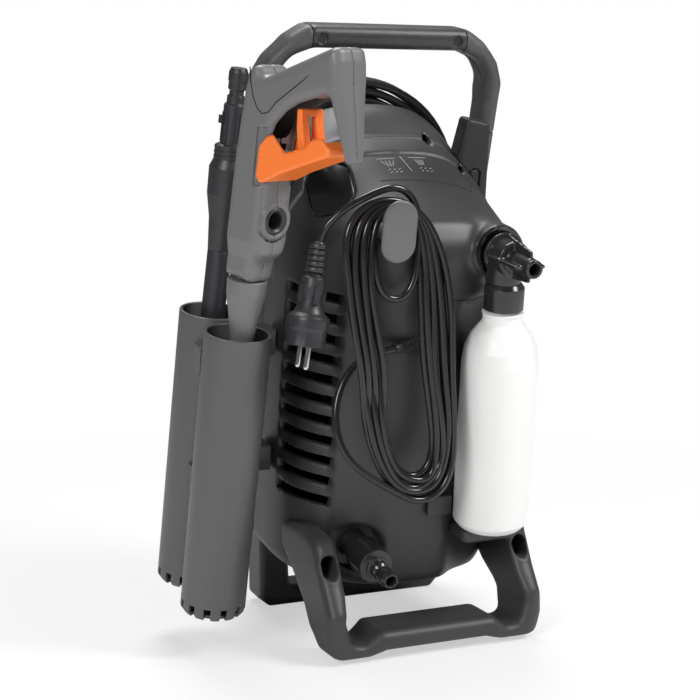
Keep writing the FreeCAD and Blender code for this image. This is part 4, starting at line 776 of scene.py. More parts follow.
@dataclass
class PowerCord:
    """Mains lead: gland, feed, hank on the hook, last turn, tail and plug."""

    diameter: float = 0.0065
    length: float = 4.8
    turns: int = 8
    feed: list[Point] = field(default_factory=lambda: [
        (-0.0680, -0.2135, 0.2830), (-0.0850, -0.2110, 0.2730), (-0.0990, -0.2130, 0.2540),
        (-0.1060, -0.2170, 0.2300), (-0.1030, -0.2220, 0.2050), (-0.0910, -0.2270, 0.1840)])
    tail: list[Point] = field(default_factory=lambda: [
        (-0.0860, -0.2290, 0.4200), (-0.1000, -0.2260, 0.4120), (-0.1110, -0.2220, 0.4020),
        (-0.1170, -0.2190, 0.3930), (-0.1195, -0.2170, 0.3840)])
    inner: list[tuple[float, float]] = field(default_factory=lambda: [
        (-54, 238), (-53, 212), (-47, 194), (-36, 187), (-26, 194), (-24, 215), (-28, 245), (-31, 283),
        (-31, 330), (-31, 368), (-33, 394), (-40, 409), (-56, 411), (-68, 403), (-71, 380), (-70, 345),
        (-65, 305), (-57, 270)])
    outer: list[tuple[float, float]] = field(default_factory=lambda: [
        (-87, 222), (-76, 185), (-55, 158), (-31, 146), (-8, 151), (7, 174), (10, 211), (8, 261),
        (5, 320), (-3, 362), (-16, 395), (-36, 415), (-62, 423), (-90, 413), (-107, 390), (-106, 352),
        (-99, 312), (-92, 268)])
    widest: float = 0.95
    pin_spacing: float = 19.0
    depth: float = -229.0

    def hank_points(self) -> list[Point]:
        """Return the turns of the hank, from the outside inwards, fanned out and in two layers.

        Each station lies at a share of the way from the inner outline to the outer one. The first two
        and the last four stations are left out, where the feed joins and the last turn leaves.
        """
        draw = np.random.default_rng(5)
        made = []
        stations = len(self.inner)
        for turn in range(self.turns):
            wobble = draw.normal(0, 0.035, stations)
            layer = 2.2 if turn % 2 else -2.0
            for i in range(stations):
                run = (turn + i / stations) / self.turns
                (ix, iz), (ox, oz) = self.inner[i], self.outer[i]
                floor = 0.05 + 0.3 * max(0.0, 1 - abs(iz - 190) / 100)
                share = min(self.widest, max(floor, self.widest - (self.widest - floor) * run + wobble[i]))
                high = max(0.0, (iz - 385) / 25)
                y = self.depth + layer * (1 + 0.8 * high) + 2.0 * high + draw.normal(0, 0.35)
                made.append(((ix + (ox - ix) * share) * 0.001, y * 0.001, (iz + (oz - iz) * share) * 0.001))
        return made[2:-4]

    def last_turn(self) -> list[Point]:
        """Return the small turn round the pad below the hook."""
        made = [(-73, -229, 386), (-73, -229, 368), (-71, -229, 350), (-65, -228, 337), (-53, -228, 331),
                (-41, -228, 335), (-34, -229, 348), (-31, -229, 368), (-30, -230, 392), (-32, -231, 411),
                (-40, -231, 425), (-54, -231, 431), (-70, -230.5, 427)]
        return [tuple(value * 0.001 for value in point) for point in made]

    def build(self) -> None:
        mouth = METRES @ GLAND @ Vector((0, 0, 24))
        points = [tuple(mouth)] + self.feed + self.hank_points() + self.last_turn() + self.tail
        cord = cord_curve("power_cord", points, self.diameter, CORD, Body.MACHINE)
        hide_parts("cord_feed", "cord_tail", "cord_hank")
        plug = self._plug()
        pin_line = [(0, 90), (2.4, 90), (2.4, 109), (1.6, 111), (0, 111)]
        pins = shown("plug_pins", "turned", joined(*[
            lathe(pin_line, PLUG @ moved(0, side * self.pin_spacing / 2, 0), 24) for side in (-1, 1)]), PIN)
        gland = self._gland()

    def _gland(self) -> bpy.types.Object:
        """Return the ribbed bend relief where the cord leaves the casing."""
        sleeve = lathe([(0, -11), (5.4, -11), (5.4, 1), (4.2, 24), (0, 24)], GLAND, 40)
        ring = lathe([(4.0, -0.9), (5.9, -0.9), (5.9, 0.9), (4.0, 0.9)], WORLD, 40, 0.5)
        rings = REPEATS.laid(ring, 5, BLACK, GLAND @ moved(0, 0, 4), (0, 0, 4), shrink=-0.05)
        return shown("cord_gland", "ribbed", joined(sleeve, rings), BLACK)

    def _plug(self) -> bpy.types.Object:
        """Return the plug: ribbed bend relief, waisted grip, flange and nose."""
        body = lathe([(0, 0), (4.2, 0), (5.2, 2), (5.2, 26), (7, 29), (10.5, 32), (11, 40), (9.6, 47),
                      (9.6, 52), (12, 58), (14, 62), (18.3, 65.5), (18.8, 68), (18.8, 75), (17.6, 77.5),
                      (17.4, 91), (0, 92)], PLUG, 72, 1.4, 24, 0.7, (78.5, 90))
        ring = lathe([(3, -1.7), (7.4, -1.7), (7.8, 0), (7.4, 1.7), (3, 1.7)], WORLD, 40, 0.6)
        rings = REPEATS.laid(ring, 5, BLACK, PLUG @ moved(0, 0, 4.5), (0, 0, 5), shrink=0.04)
        rib = block_mesh((8, -2.6, -8), (12.4, 2.6, 8))
        ribs = REPEATS.laid(rib, 4, BLACK, PLUG @ moved(0, 0, 46), turn=90)
        return put("plug_moulded", joined(body, rings, ribs), BLACK, Body.MACHINE, ["plug_body"], BLACK.slot)


@dataclass
class PressureHose:
    """High-pressure hose: coupling at the outlet, lead, coil on the rear hook, tail and end fitting."""

    diameter: float = 0.008
    length: float = 6.1
    turns: int = 9
    stations: int = 14
    lead: list[Point] = field(default_factory=lambda: [
        (18, 175, 124), (20, 174.5, 158), (31, 173, 190), (49, 170.5, 221), (69, 167, 252), (84, 162, 286),
        (94.5, 157, 316)])
    tail: list[Point] = field(default_factory=lambda: [
        (-109, 162, 346), (-106, 165, 320), (-101.5, 167.5, 292), (-100.5, 168.5, 262)])

    def coil(self) -> list[Point]:
        """Return the coil's turns, three beside each other in three layers, in the leaning frame."""
        draw = np.random.default_rng(11)
        made = []
        sweep = 360 * (self.turns - 1) + 205
        count = int(sweep / 360 * self.stations)
        for i in range(count + 1):
            degrees = sweep * i / count - 27.0
            turn = sweep * i / count / 360
            row, column = int(turn) % 3, int(turn) // 3
            blend = min(1.0, max(0.0, (turn % 1 - 0.8) / 0.2))
            following = min(int(turn) + 1, self.turns - 1)
            deep = 154 + 8.6 * (row + (following % 3 - row) * blend) + draw.normal(0, 0.3)
            radius = 118 - 9.4 * (column + (following // 3 - column) * blend) + draw.normal(0, 0.5)
            angle = math.radians(degrees)
            made.append((-5 + radius * math.cos(angle), deep, 392 + radius * math.sin(angle)))
        return made

    def build(self) -> None:
        route = self.lead + self.coil() + self.tail
        points = [tuple(METRES @ LEAN @ Vector(p)) for p in route]
        hose = cord_curve("pressure_hose", points, self.diameter, HOSE, Body.MACHINE)
        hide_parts("hose_coil", "hose_lead", "hose_tail")
        end = Vector(self.tail[-1])
        place = LEAN @ Matrix.Translation(end) @ towards(end - Vector(self.tail[-2]))
        nipple = lathe([(0, 0), (6.6, 0), (7.6, 5), (7.6, 15), (9.8, 16), (9.8, 24), (6.5, 25), (6.5, 33),
                        (5.5, 34), (5.5, 37), (6.5, 38), (6.5, 43), (5.5, 44), (0, 44)],
                       place, 72, 0.5, 18, 0.6, (16.5, 23.5))
        fitting = shown("hose_nipple", "turned", nipple, BLACK)
        coupling = copied("hose_coupling", BLACK, 1.2)
        grips = REPEATS.laid(block_mesh((13.2, -1.2, -5), (15.2, 1.2, 5)), 16, BLACK,
                             LEAN @ moved(OUTLET_X, 161, OUTLET_W) @ BEHIND, turn=22.5)
        put("coupling_grips", grips, BLACK, Body.MACHINE, slot=BLACK.slot)


# ---------------------------------------------------------------- casing

class Casing:
    """Two shells with a half-round front, an arched top, louvres, pockets and a rim."""

    wall = 6.0
    half_width = 118.0
    base_half_width = 112.0
    side_centre = 64.0
    face_front = -54.0
    back_corner = 35.0
    louvre_pitch = 19.6
    louvre_first = 141.5
    pocket_centre = Vector((-74, 46, 426))
    pocket_up = Vector((0.154, 0.87, 0.466)).normalized()
    pocket_out = Vector((-0.6, -0.295, 0.746)).normalized()
    top_line = [(-80, 385), (-54, 385), (-36, 412), (20, 440), (96, 463), (121, 487), (136, 489), (147, 470),
                (170, 430)]

    def __init__(self) -> None:
        """Work out the smooth line of the top."""
        at = np.linspace(-80, 170, 501)
        line = np.interp(at, *zip(*self.top_line))
        weights = np.hanning(29)
        padded = np.pad(line, 14, "edge")
        self.line_at, self.line = at, np.convolve(padded, weights / weights.sum(), "valid")

    def envelope(self, x: Array, d: Array, w: Array) -> Array:
        """Return the outside without its openings."""
        round_front = np.hypot(x, d - self.side_centre) - self.half_width
        qx, qd = np.abs(x) - 83, d - 112
        square = (np.hypot(np.maximum(qx, 0), np.maximum(qd, 0)) - self.back_corner
                  + np.minimum(np.maximum(qx, qd), 0))
        plan = np.where(d < self.side_centre, round_front, square)
        share = (d + 60) / 210
        spring, rise = 311 + 63 * share, 95 + 26 * share
        height = np.maximum(w - spring, 0)
        k1 = np.sqrt((x / self.half_width) ** 2 + (height / rise) ** 2)
        k2 = np.sqrt((x / self.half_width ** 2) ** 2 + (height / rise ** 2) ** 2) + 1e-9
        arch = np.maximum(k1 * (k1 - 1) / k2, -60)
        widening = (self.half_width - self.base_half_width) * np.clip((w - 60) / (spring - 60), 0, 1)
        arch = np.where(w > spring, arch, np.abs(x) - self.base_half_width - widening)
        top = (w - np.interp(d, self.line_at, self.line)) * 0.93
        heel = ((d - 119) * 32 + (60 - w) * 28) / 42.5
        made = soft_max(soft_max(plan, arch, 14), top, 9)
        made = soft_max(made, self.face_front - d, 10)
        return soft_max(soft_max(made, 60 - w, 12), heel, 10)

    def pocket(self, x: Array, d: Array, w: Array, extra: float) -> Array:
        """Return the nozzle pocket's outline as a long prism, larger all round by extra."""
        across = self.pocket_up.cross(self.pocket_out)
        p = [value - middle for value, middle in zip((x, d, w), self.pocket_centre)]
        u = sum(p[i] * across[i] for i in range(3))
        v = sum(p[i] * self.pocket_up[i] for i in range(3))
        return capsule_line(u, v, (0, -13), (0, 13), 22.5 + extra)

    def plain(self, x: Array, d: Array, w: Array) -> Array:
        """Return the outside with the bottle's scoop and the inlet recess."""
        made = self.envelope(x, d, w)
        across = (x - FOAM_X) + (w - FOAM_W) * math.tan(math.radians(BOTTLE_TILT))
        scoop = soft_max(np.hypot(across, d - FOAM_D) - 37.5, w - 340, 14)
        made = soft_max(made, -scoop, 9)
        made = soft_max(made, -rod(x, w, d, (INLET_X, INLET_W), 23, high=-26), 4)
        made = soft_min(made, rod(x, w, d, (FOAM_X, FOAM_W), 24.5, -53.5, 40), 9)
        rim = np.clip((d - 63) / 2.5, 0, 1) * np.clip((w - 335) / 25, 0, 1)
        return made - 2.4 * rim

    def outside(self, x: Array, d: Array, w: Array) -> Array:
        """Return the outside with the nozzle pocket too."""
        made = self.plain(x, d, w)
        room = np.maximum(self.pocket(x, d, w, 0), -(self.envelope(x, d, w) + 4))
        return soft_max(made, -room, 2)

    def shell(self, x: Array, d: Array, w: Array) -> Array:
        """Return the hollow casing with its louvres and holes."""
        outer = self.outside(x, d, w)
        rise = (w - self.louvre_first) / self.louvre_pitch
        phase = rise - np.floor(rise)
        side = np.clip((-78 - x) / 5, 0, 1) * np.clip((40 - d) / 5, 0, 1)
        outer = outer + 5.0 * phase ** 2 * side * ((rise > 0) & (rise < 10))
        made = np.maximum(outer, -(outer + self.wall))
        row = np.clip(np.round(rise), 0, 10)
        slot = np.abs(w - self.louvre_first - self.louvre_pitch * row) - 4.6
        slot = np.maximum(np.maximum(slot, x + 80), d - 38)
        made = soft_max(made, -slot, 1.2)
        for centre in ((45, 461), (72, 437)):
            well = np.hypot(np.hypot(x - centre[0], w - centre[1]), np.maximum(np.abs(d - 76) - 30, 0)) - 4.2
            made = soft_max(made, -well, 1.0)
        for centre, radius, low, high in (((HOOK_X, STEM_W), 7.1, -200, 2),
                                          ((INLET_X, INLET_W), 13.2, -60, -20),
                                          ((OUTLET_X, OUTLET_W), 11, 50, 200)):
            made = np.maximum(made, -rod(x, w, d, centre, radius, low, high))
        return np.maximum(made, -rod(d, w, x, (KNOB_D, KNOB_W), 7, low=98))

    def front(self, x: Array, d: Array, w: Array) -> Array:
        """Return the front shell."""
        return soft_max(self.shell(x, d, w), d - 89.6, 1.5)

    def rear(self, x: Array, d: Array, w: Array) -> Array:
        """Return the rear shell with its hose hook."""
        body = soft_max(self.shell(x, d, w), 90.4 - d, 1.5)
        arm = polygon([(142, 468), (181, 472), (181, 498.5), (176, 498.5), (176, 482.5), (140, 482.5)], d, w)
        return soft_min(body, soft_max(arm, np.abs(x + 5) - 14, 3), 3)

    def on_surface(self, points: Sequence[Sequence[float]], lift: float = 0.0) -> list[Vector]:
        """Return points drawn onto the outside, lifted by a distance."""
        spots = np.array(points, float)
        for _ in range(12):
            value, slope = value_and_slope(lambda *p: self.plain(*p) - lift, spots, 0.1)
            spots -= (value / np.maximum((slope ** 2).sum(1), 0.3))[:, None] * slope
        return [Vector(p) for p in spots]

    def seam(self, name: str, corners: Sequence[Sequence[float]], radius: float = 0.45) -> None:
        """Lay a fine shut line over the casing between corners in the leaning frame."""
        path = []
        for start, end in zip(corners, corners[1:]):
            start, end = Vector(start), Vector(end)
            count = max(2, int((end - start).length / 4))
            path += [start.lerp(end, i / count) for i in range(count)]
        path.append(Vector(corners[-1]))
        line_piece(name, self.on_surface(path, 0.1 - radius), radius + 0.35, SEAM, Body.MACHINE, LEAN)

    def build(self) -> None:
        """Build both shells, the nozzle panel and the shut lines."""
        step = 2.2
        front = skin(self.front, (-120, -56, 56), (120, 92, 494), step)
        shown("front_shell", "moulded", thinned(front, 0.6), CASING, crease=50)
        rear = skin(self.rear, (-120, 88, 56), (120, 184, 502), step)
        shown("rear_shell", "moulded", thinned(rear, 0.8), CASING, crease=50)
        panel = skin(self._panel, (-125, -5, 370), (-20, 100, 480), 1.2)
        shown("nozzle_panel", "moulded", panel, GLOSS, crease=50)
        self.seam("label_outline", [(-34, 22, 440), (61, 18, 428), (80, 56, 430)], 0.3)
        self.seam("front_seam", [(-20, -54, 342), (60, -36, 342), (90, -12, 342), (112, 30, 342)])
        self._rim()
        self._label()
        copied("bottle_rest", CASING, 1.5)

    def _rim(self) -> None:
        """Lay a dark shut line round the nozzle pocket."""
        up, out, centre = self.pocket_up, self.pocket_out, self.pocket_centre
        across = up.cross(out)
        ring = []
        for side, base in ((1, 0), (-1, 180)):
            for step in range(25):
                angle = math.radians(base + step * 7.5)
                rise = 13 * side + 22.6 * math.sin(angle)
                ring.append(centre + across * 22.6 * math.cos(angle) + up * rise)
        ring.append(ring[0])
        spots = [spot + out * 30 for spot in ring]
        for spot in spots:
            for _ in range(400):
                x, d, w = (np.array([value]) for value in spot)
                if float(self.envelope(x, d, w)[0]) <= 0.2:
                    break
                spot -= out * 0.25
        line_piece("pocket_shut_line", spots, 0.8, SEAM, Body.MACHINE, LEAN)

    def _label(self) -> None:
        """Lay the pale marks for the two spray patterns beside a dividing line."""
        marks = [[(4, 34), (2, 62)]]
        for cx, cd, spread in ((-14, 44, 2.6), (19, 46, 0.9)):
            marks += [[(cx + i * 1.6, cd), (cx + i * (1.6 + spread), cd + 10)]
                      for i in (-1.5, -0.5, 0.5, 1.5)]
            marks += [[(cx - 5 + i * 5, cd - drop), (cx - 2 + i * 5, cd - drop + 2)]
                      for drop in (7, 12) for i in range(3)]
            marks.append([(cx - 9, cd + 14), (cx + 9, cd + 14.6)])
        for i, mark in enumerate(marks):
            path = [Vector((x, d, 445)) for x, d in mark]
            path = [path[0].lerp(path[1], k / 4) for k in range(5)]
            line_piece(f"label_mark_{i}", self.on_surface(path, -0.1), 0.32, MARK, Body.MACHINE, LEAN)

    def _panel(self, x: Array, d: Array, w: Array) -> Array:
        """Return the glossy panel that lies in the nozzle pocket."""
        outer = self.envelope(x, d, w)
        made = np.maximum(outer + 1.5, -(outer + 4))
        return soft_max(made, self.pocket(x, d, w, -0.3), 1.2)


# ---------------------------------------------------------------- feet

class Feet:
    """Looped front foot with its bottle shelf, and the bar foot at the back."""

    front_view = [(52, 7), (68, 0), (97, 0), (104, 5), (110, 26), (110, 134), (86, 134), (88, 60), (92, 38),
                  (86, 18), (74, 16), (58, 27)]
    side_view = [(-220, 0), (-172, 0), (-164, 20), (-148, 42), (-120, 66), (-94, 84), (-90, 114), (-150, 114),
                 (-177, 110), (-184, 105), (-202, 70), (-218, 46)]

    def __init__(self, casing: Casing) -> None:
        """Keep the casing that the feet are fitted to."""
        self.casing = casing
        whole = self.front_view + [(-x, z) for x, z in reversed(self.front_view)]
        self.front_line = filleted(whole, 11)
        self.side_line = filleted(self.side_view, 16)

    @staticmethod
    def _leaning(y: Array, z: Array) -> tuple[Array, Array]:
        """Return d and w of the leaning frame at y and z of the row frame."""
        c, s = math.cos(math.radians(LEAN_DEGREES)), math.sin(math.radians(LEAN_DEGREES))
        return (y + PIVOT_AHEAD) * c + z * s, z * c - (y + PIVOT_AHEAD) * s

    def front(self, x: Array, y: Array, z: Array) -> Array:
        """Return the front foot."""
        made = soft_max(polygon(self.front_line, x, z), polygon(self.side_line, y, z), 11)
        d, w = self._leaning(y, z)
        shelf = soft_max(soft_max(np.abs(x - 66) - 28, np.abs(d + 49) - 23, 8), np.abs(w - 113) - 6, 4)
        made = soft_min(made, shelf, 5)
        eye = capsule_line(np.abs(x), z, (99, 82), (99, 88), 7.4)
        made = soft_max(made, -eye, 2.5)
        return soft_max(made, -self.casing.plain(x, d, w), 1.5)

    def rear(self, x: Array, y: Array, z: Array) -> Array:
        """Return the rear foot."""
        line = filleted([(-91, 0), (91, 0), (101, 10), (101, 112), (73, 112), (69, 20), (-69, 20), (-73, 112),
                         (-101, 112), (-101, 10)], 7)
        made = soft_max(polygon(line, x, z), np.abs(y) - 20, 7)
        return soft_max(made, -self.casing.plain(x, *self._leaning(y, z)), 1.5)

    def build(self) -> None:
        """Build both feet."""
        step = 1.7
        front = skin(self.front, (-111, -221, 0), (111, -88, 136), step, WORLD)
        shown("front_foot", "moulded", front, FOOT, crease=50)
        # The rear foot's near-black finish is painted shade.
        rear = skin(self.rear, (-102, -21, 0), (102, 21, 113), step, WORLD)
        shown("rear_foot", "moulded", rear, REAR_FOOT_PAINTED_SHADE, crease=50)


# ---------------------------------------------------------------- hoop handle

class Hoop:
    """Grip bar, elbow arms, post brackets and post sockets."""

    screw_well = 5.2
    outer = [(124, 392), (130, 498), (129.5, 515), (120, 536), (102, 555.5), (81, 568.5)]
    inner = [(106, 392), (111, 495), (109, 520), (97, 537.5), (76, 545.5)]
    side = [(102, 372), (138, 372), (138, 508), (128, 549.5), (128, 573.5), (92, 573.5), (92, 545.5),
            (102, 498)]

    def __init__(self, casing: Casing) -> None:
        """Keep the casing and round the outlines."""
        self.casing = casing
        loop = (self.outer + [(-x, w) for x, w in reversed(self.outer)] + [(-x, w) for x, w in self.inner]
                + self.inner[::-1])
        self.loop = filleted(loop, 24)
        self.flank = filleted(self.side, 20)

    def whole(self, x: Array, d: Array, w: Array) -> Array:
        """Return the hoop with its screw wells and the hollow inside each elbow."""
        made = soft_max(polygon(self.loop, x, w), polygon(self.flank, d, w), 13)
        well = rod(np.abs(x), w, d, (GRIP_SCREW_X, GRIP_SCREW_W), self.screw_well, high=96)
        made = soft_max(made, -well, 1.2)
        side_well = rod(d, w, np.abs(x), (POST_SCREW_D, POST_SCREW_W), self.screw_well, low=124)
        made = soft_max(made, -side_well, 1.2)
        hollow = np.maximum(capsule_line(np.abs(x), w, (92, 537), (105, 521), 6.5), np.abs(d - 112) - 4.5)
        made = soft_max(made, -hollow, 2)
        return np.maximum(made, -self.casing.outside(x, d, w))

    def grip(self, x: Array, d: Array, w: Array) -> Array:
        """Return the grip bar."""
        return soft_max(self.whole(x, d, w), np.abs(x) - 79.7, 0.8)

    def arm(self, x: Array, d: Array, w: Array) -> Array:
        """Return both elbow arms."""
        return soft_max(soft_max(self.whole(x, d, w), 80.1 - np.abs(x), 0.8), 466.3 - w, 0.8)

    def bracket(self, x: Array, d: Array, w: Array) -> Array:
        """Return both post brackets."""
        return soft_max(soft_max(self.whole(x, d, w), 80 - np.abs(x), 0.8), w - 465.7, 0.8)

    def socket(self, x: Array, d: Array, w: Array) -> Array:
        """Return both post sockets: tapered columns with a tongue cut into their foot."""
        column = filleted([(73, 432), (83, 484), (108, 479), (112, 403), (95, 395)], 4)
        side = np.abs(x)
        made = soft_max(polygon(column, side, w), np.abs(d - 91) - 11, 5)
        tongue = np.maximum(np.abs(capsule_line(side, w, (95, 400), (95, 428), 6)) - 0.9, d - 82.5)
        made = soft_max(made, -tongue, 0.8)
        made = np.maximum(made, -(self.whole(x, d, w) - 0.3))
        return np.maximum(made, -self.casing.outside(x, d, w))

    def build(self) -> None:
        """Build the grip and both sides."""
        step = 1.5
        bar = skin(self.grip, (-81, 90, 540), (81, 130, 570), step)
        shown("handle_grip", "moulded", bar, GRIP, crease=45)
        for side, name in ((-1, "left"), (1, "right")):
            for part, shape, near, low, high, finish in (
                    ("handle_arm", self.arm, 78, 464, 570, ARM),
                    ("post_bracket", self.bracket, 78, 390, 468, ARM),
                    ("post_socket", self.socket, 70, 392, 488, POST)):
                start, end = sorted((side * near, side * 132))
                mesh = skin(shape, (start, 78, low), (end, 140, high), step)
                shown(f"{part}_{name}", "moulded", mesh, finish, crease=45)


# ---------------------------------------------------------------- holsters

@dataclass
class Holsters:
    """Two tubes that hold the gun and the lance, tied by a bracket."""

    radius: float = 30.0
    wall: float = 3.0
    length: float = 267.0
    notches: int = 12

    def build(self) -> None:
        """Build the tubes with their drain notches, and the bracket."""
        for row, name in enumerate(("holster_front", "holster_rear")):
            tube = lathe([(6, 0), (self.radius - 3, 0), (self.radius, 4), (self.radius, self.length - 6),
                          (self.radius, self.length), (self.radius - self.wall, self.length),
                          (self.radius - self.wall, self.wall), (6, self.wall), (6, 0)],
                         HOLSTERS[row], 96, 1.0)
            cutter = block_mesh((self.radius - 8, -3.2, -3), (self.radius + 4, 3.2, 12))
            cutters = REPEATS.laid(cutter, self.notches, TUBE, HOLSTERS[row], turn=360 / self.notches)
            shown(name, "moulded", less(tube, cutters), TUBE, crease=30)
        copied("holster_bracket", TUBE, 1.5)


# ---------------------------------------------------------------- inlet, hook and knob

class Fittings:
    """Water inlet adapter, cord hook, power knob and the case screws."""

    def adapter(self) -> None:
        """Build the hose adapter: knurled nut, collar and grooved nipple."""
        body = lathe([(8, 38), (8, 61), (5.05, 61), (5.05, 88), (6.75, 88), (8.25, 84), (8.25, 74), (6.3, 72),
                      (6.3, 68), (8.25, 66), (8.25, 59), (10.4, 58.5), (10.4, 56), (16, 55.5), (16.4, 54),
                      (16.4, 23), (15, 22), (13.6, 22), (13.6, 38)], INLET, 72, 0.5)
        rib = block_mesh((15.4, -0.8, 25), (17, 0.8, 53))
        ribs = REPEATS.laid(rib, 36, ADAPTER, INLET, turn=10)
        shown("inlet_adapter", "turned", joined(body, ribs), ADAPTER, Body.ADAPTER, 35)

    def hook(self) -> None:
        """Build the cord hook: oval plate with soft edges on its stem."""
        def plate(x: Array, d: Array, w: Array) -> Array:
            flat = capsule_line(x, w, (HOOK_X, 400.5), (HOOK_X, 423.5), 16.5)
            made = soft_max(flat, np.abs(d + 70.5) - 2.5, 3.2)
            stem = soft_max(np.hypot(x - HOOK_X, w - STEM_W) - 6.8, np.maximum(d - 6, -70 - d), 1)
            collar = rod(x, w, d, (HOOK_X, STEM_W), 8.8, 3, 6)
            return np.minimum(soft_min(made, stem, 4), collar)
        shown("cord_hook", "moulded", skin(plate, (-73, -74, 383), (-39, 8, 441), 1.1), HOOK, Body.HOOK, 45)

    def knob(self) -> None:
        """Build the power knob: fluted rim and a raised grip across it."""
        place = LEAN @ moved(120.3, KNOB_D, KNOB_W) @ spun(90, "Y")
        body = lathe([(0, -12), (4, -12), (4, 0), (21.5, 0), (22, 2), (21, 12), (18, 13), (0, 13)], place, 96,
                     0.8, 32, 0.8, (2, 11))
        grip = block_mesh((-16, -3, 11), (16, 3, 14), place)
        shown("power_knob", "fluted", joined(body, grip), BLACK, Body.KNOB, 35)

    def screws(self) -> None:
        """Build the case screws with cross recesses in their heads."""
        made = []
        line = [(0, 0.2), (2.6, 0), (3.5, 0.8), (3.5, 2.3), (1.9, 2.5), (1.9, 14), (0, 14)]
        for spot, way in (((-GRIP_SCREW_X, 96, GRIP_SCREW_W), (0, 1, 0)),
                          ((GRIP_SCREW_X, 96, GRIP_SCREW_W), (0, 1, 0)),
                          ((124, POST_SCREW_D, POST_SCREW_W), (-1, 0, 0)),
                          ((-124, POST_SCREW_D, POST_SCREW_W), (1, 0, 0))):
            place = LEAN @ moved(*spot) @ towards(way)
            body = lathe(line, place, 36, 0.3)
            for turn in (0, 90):
                body = less(body, block_mesh((-2.3, -0.45, -1), (2.3, 0.45, 1.2), place @ spun(turn, "Z")))
            made.append(body)
        shown("case_screws", "crossed", joined(*made), STEEL, crease=35)

    def build(self) -> None:
        """Build them all."""
        for build in (self.adapter, self.hook, self.knob, self.screws):
            build()


# ---------------------------------------------------------------- spray gun

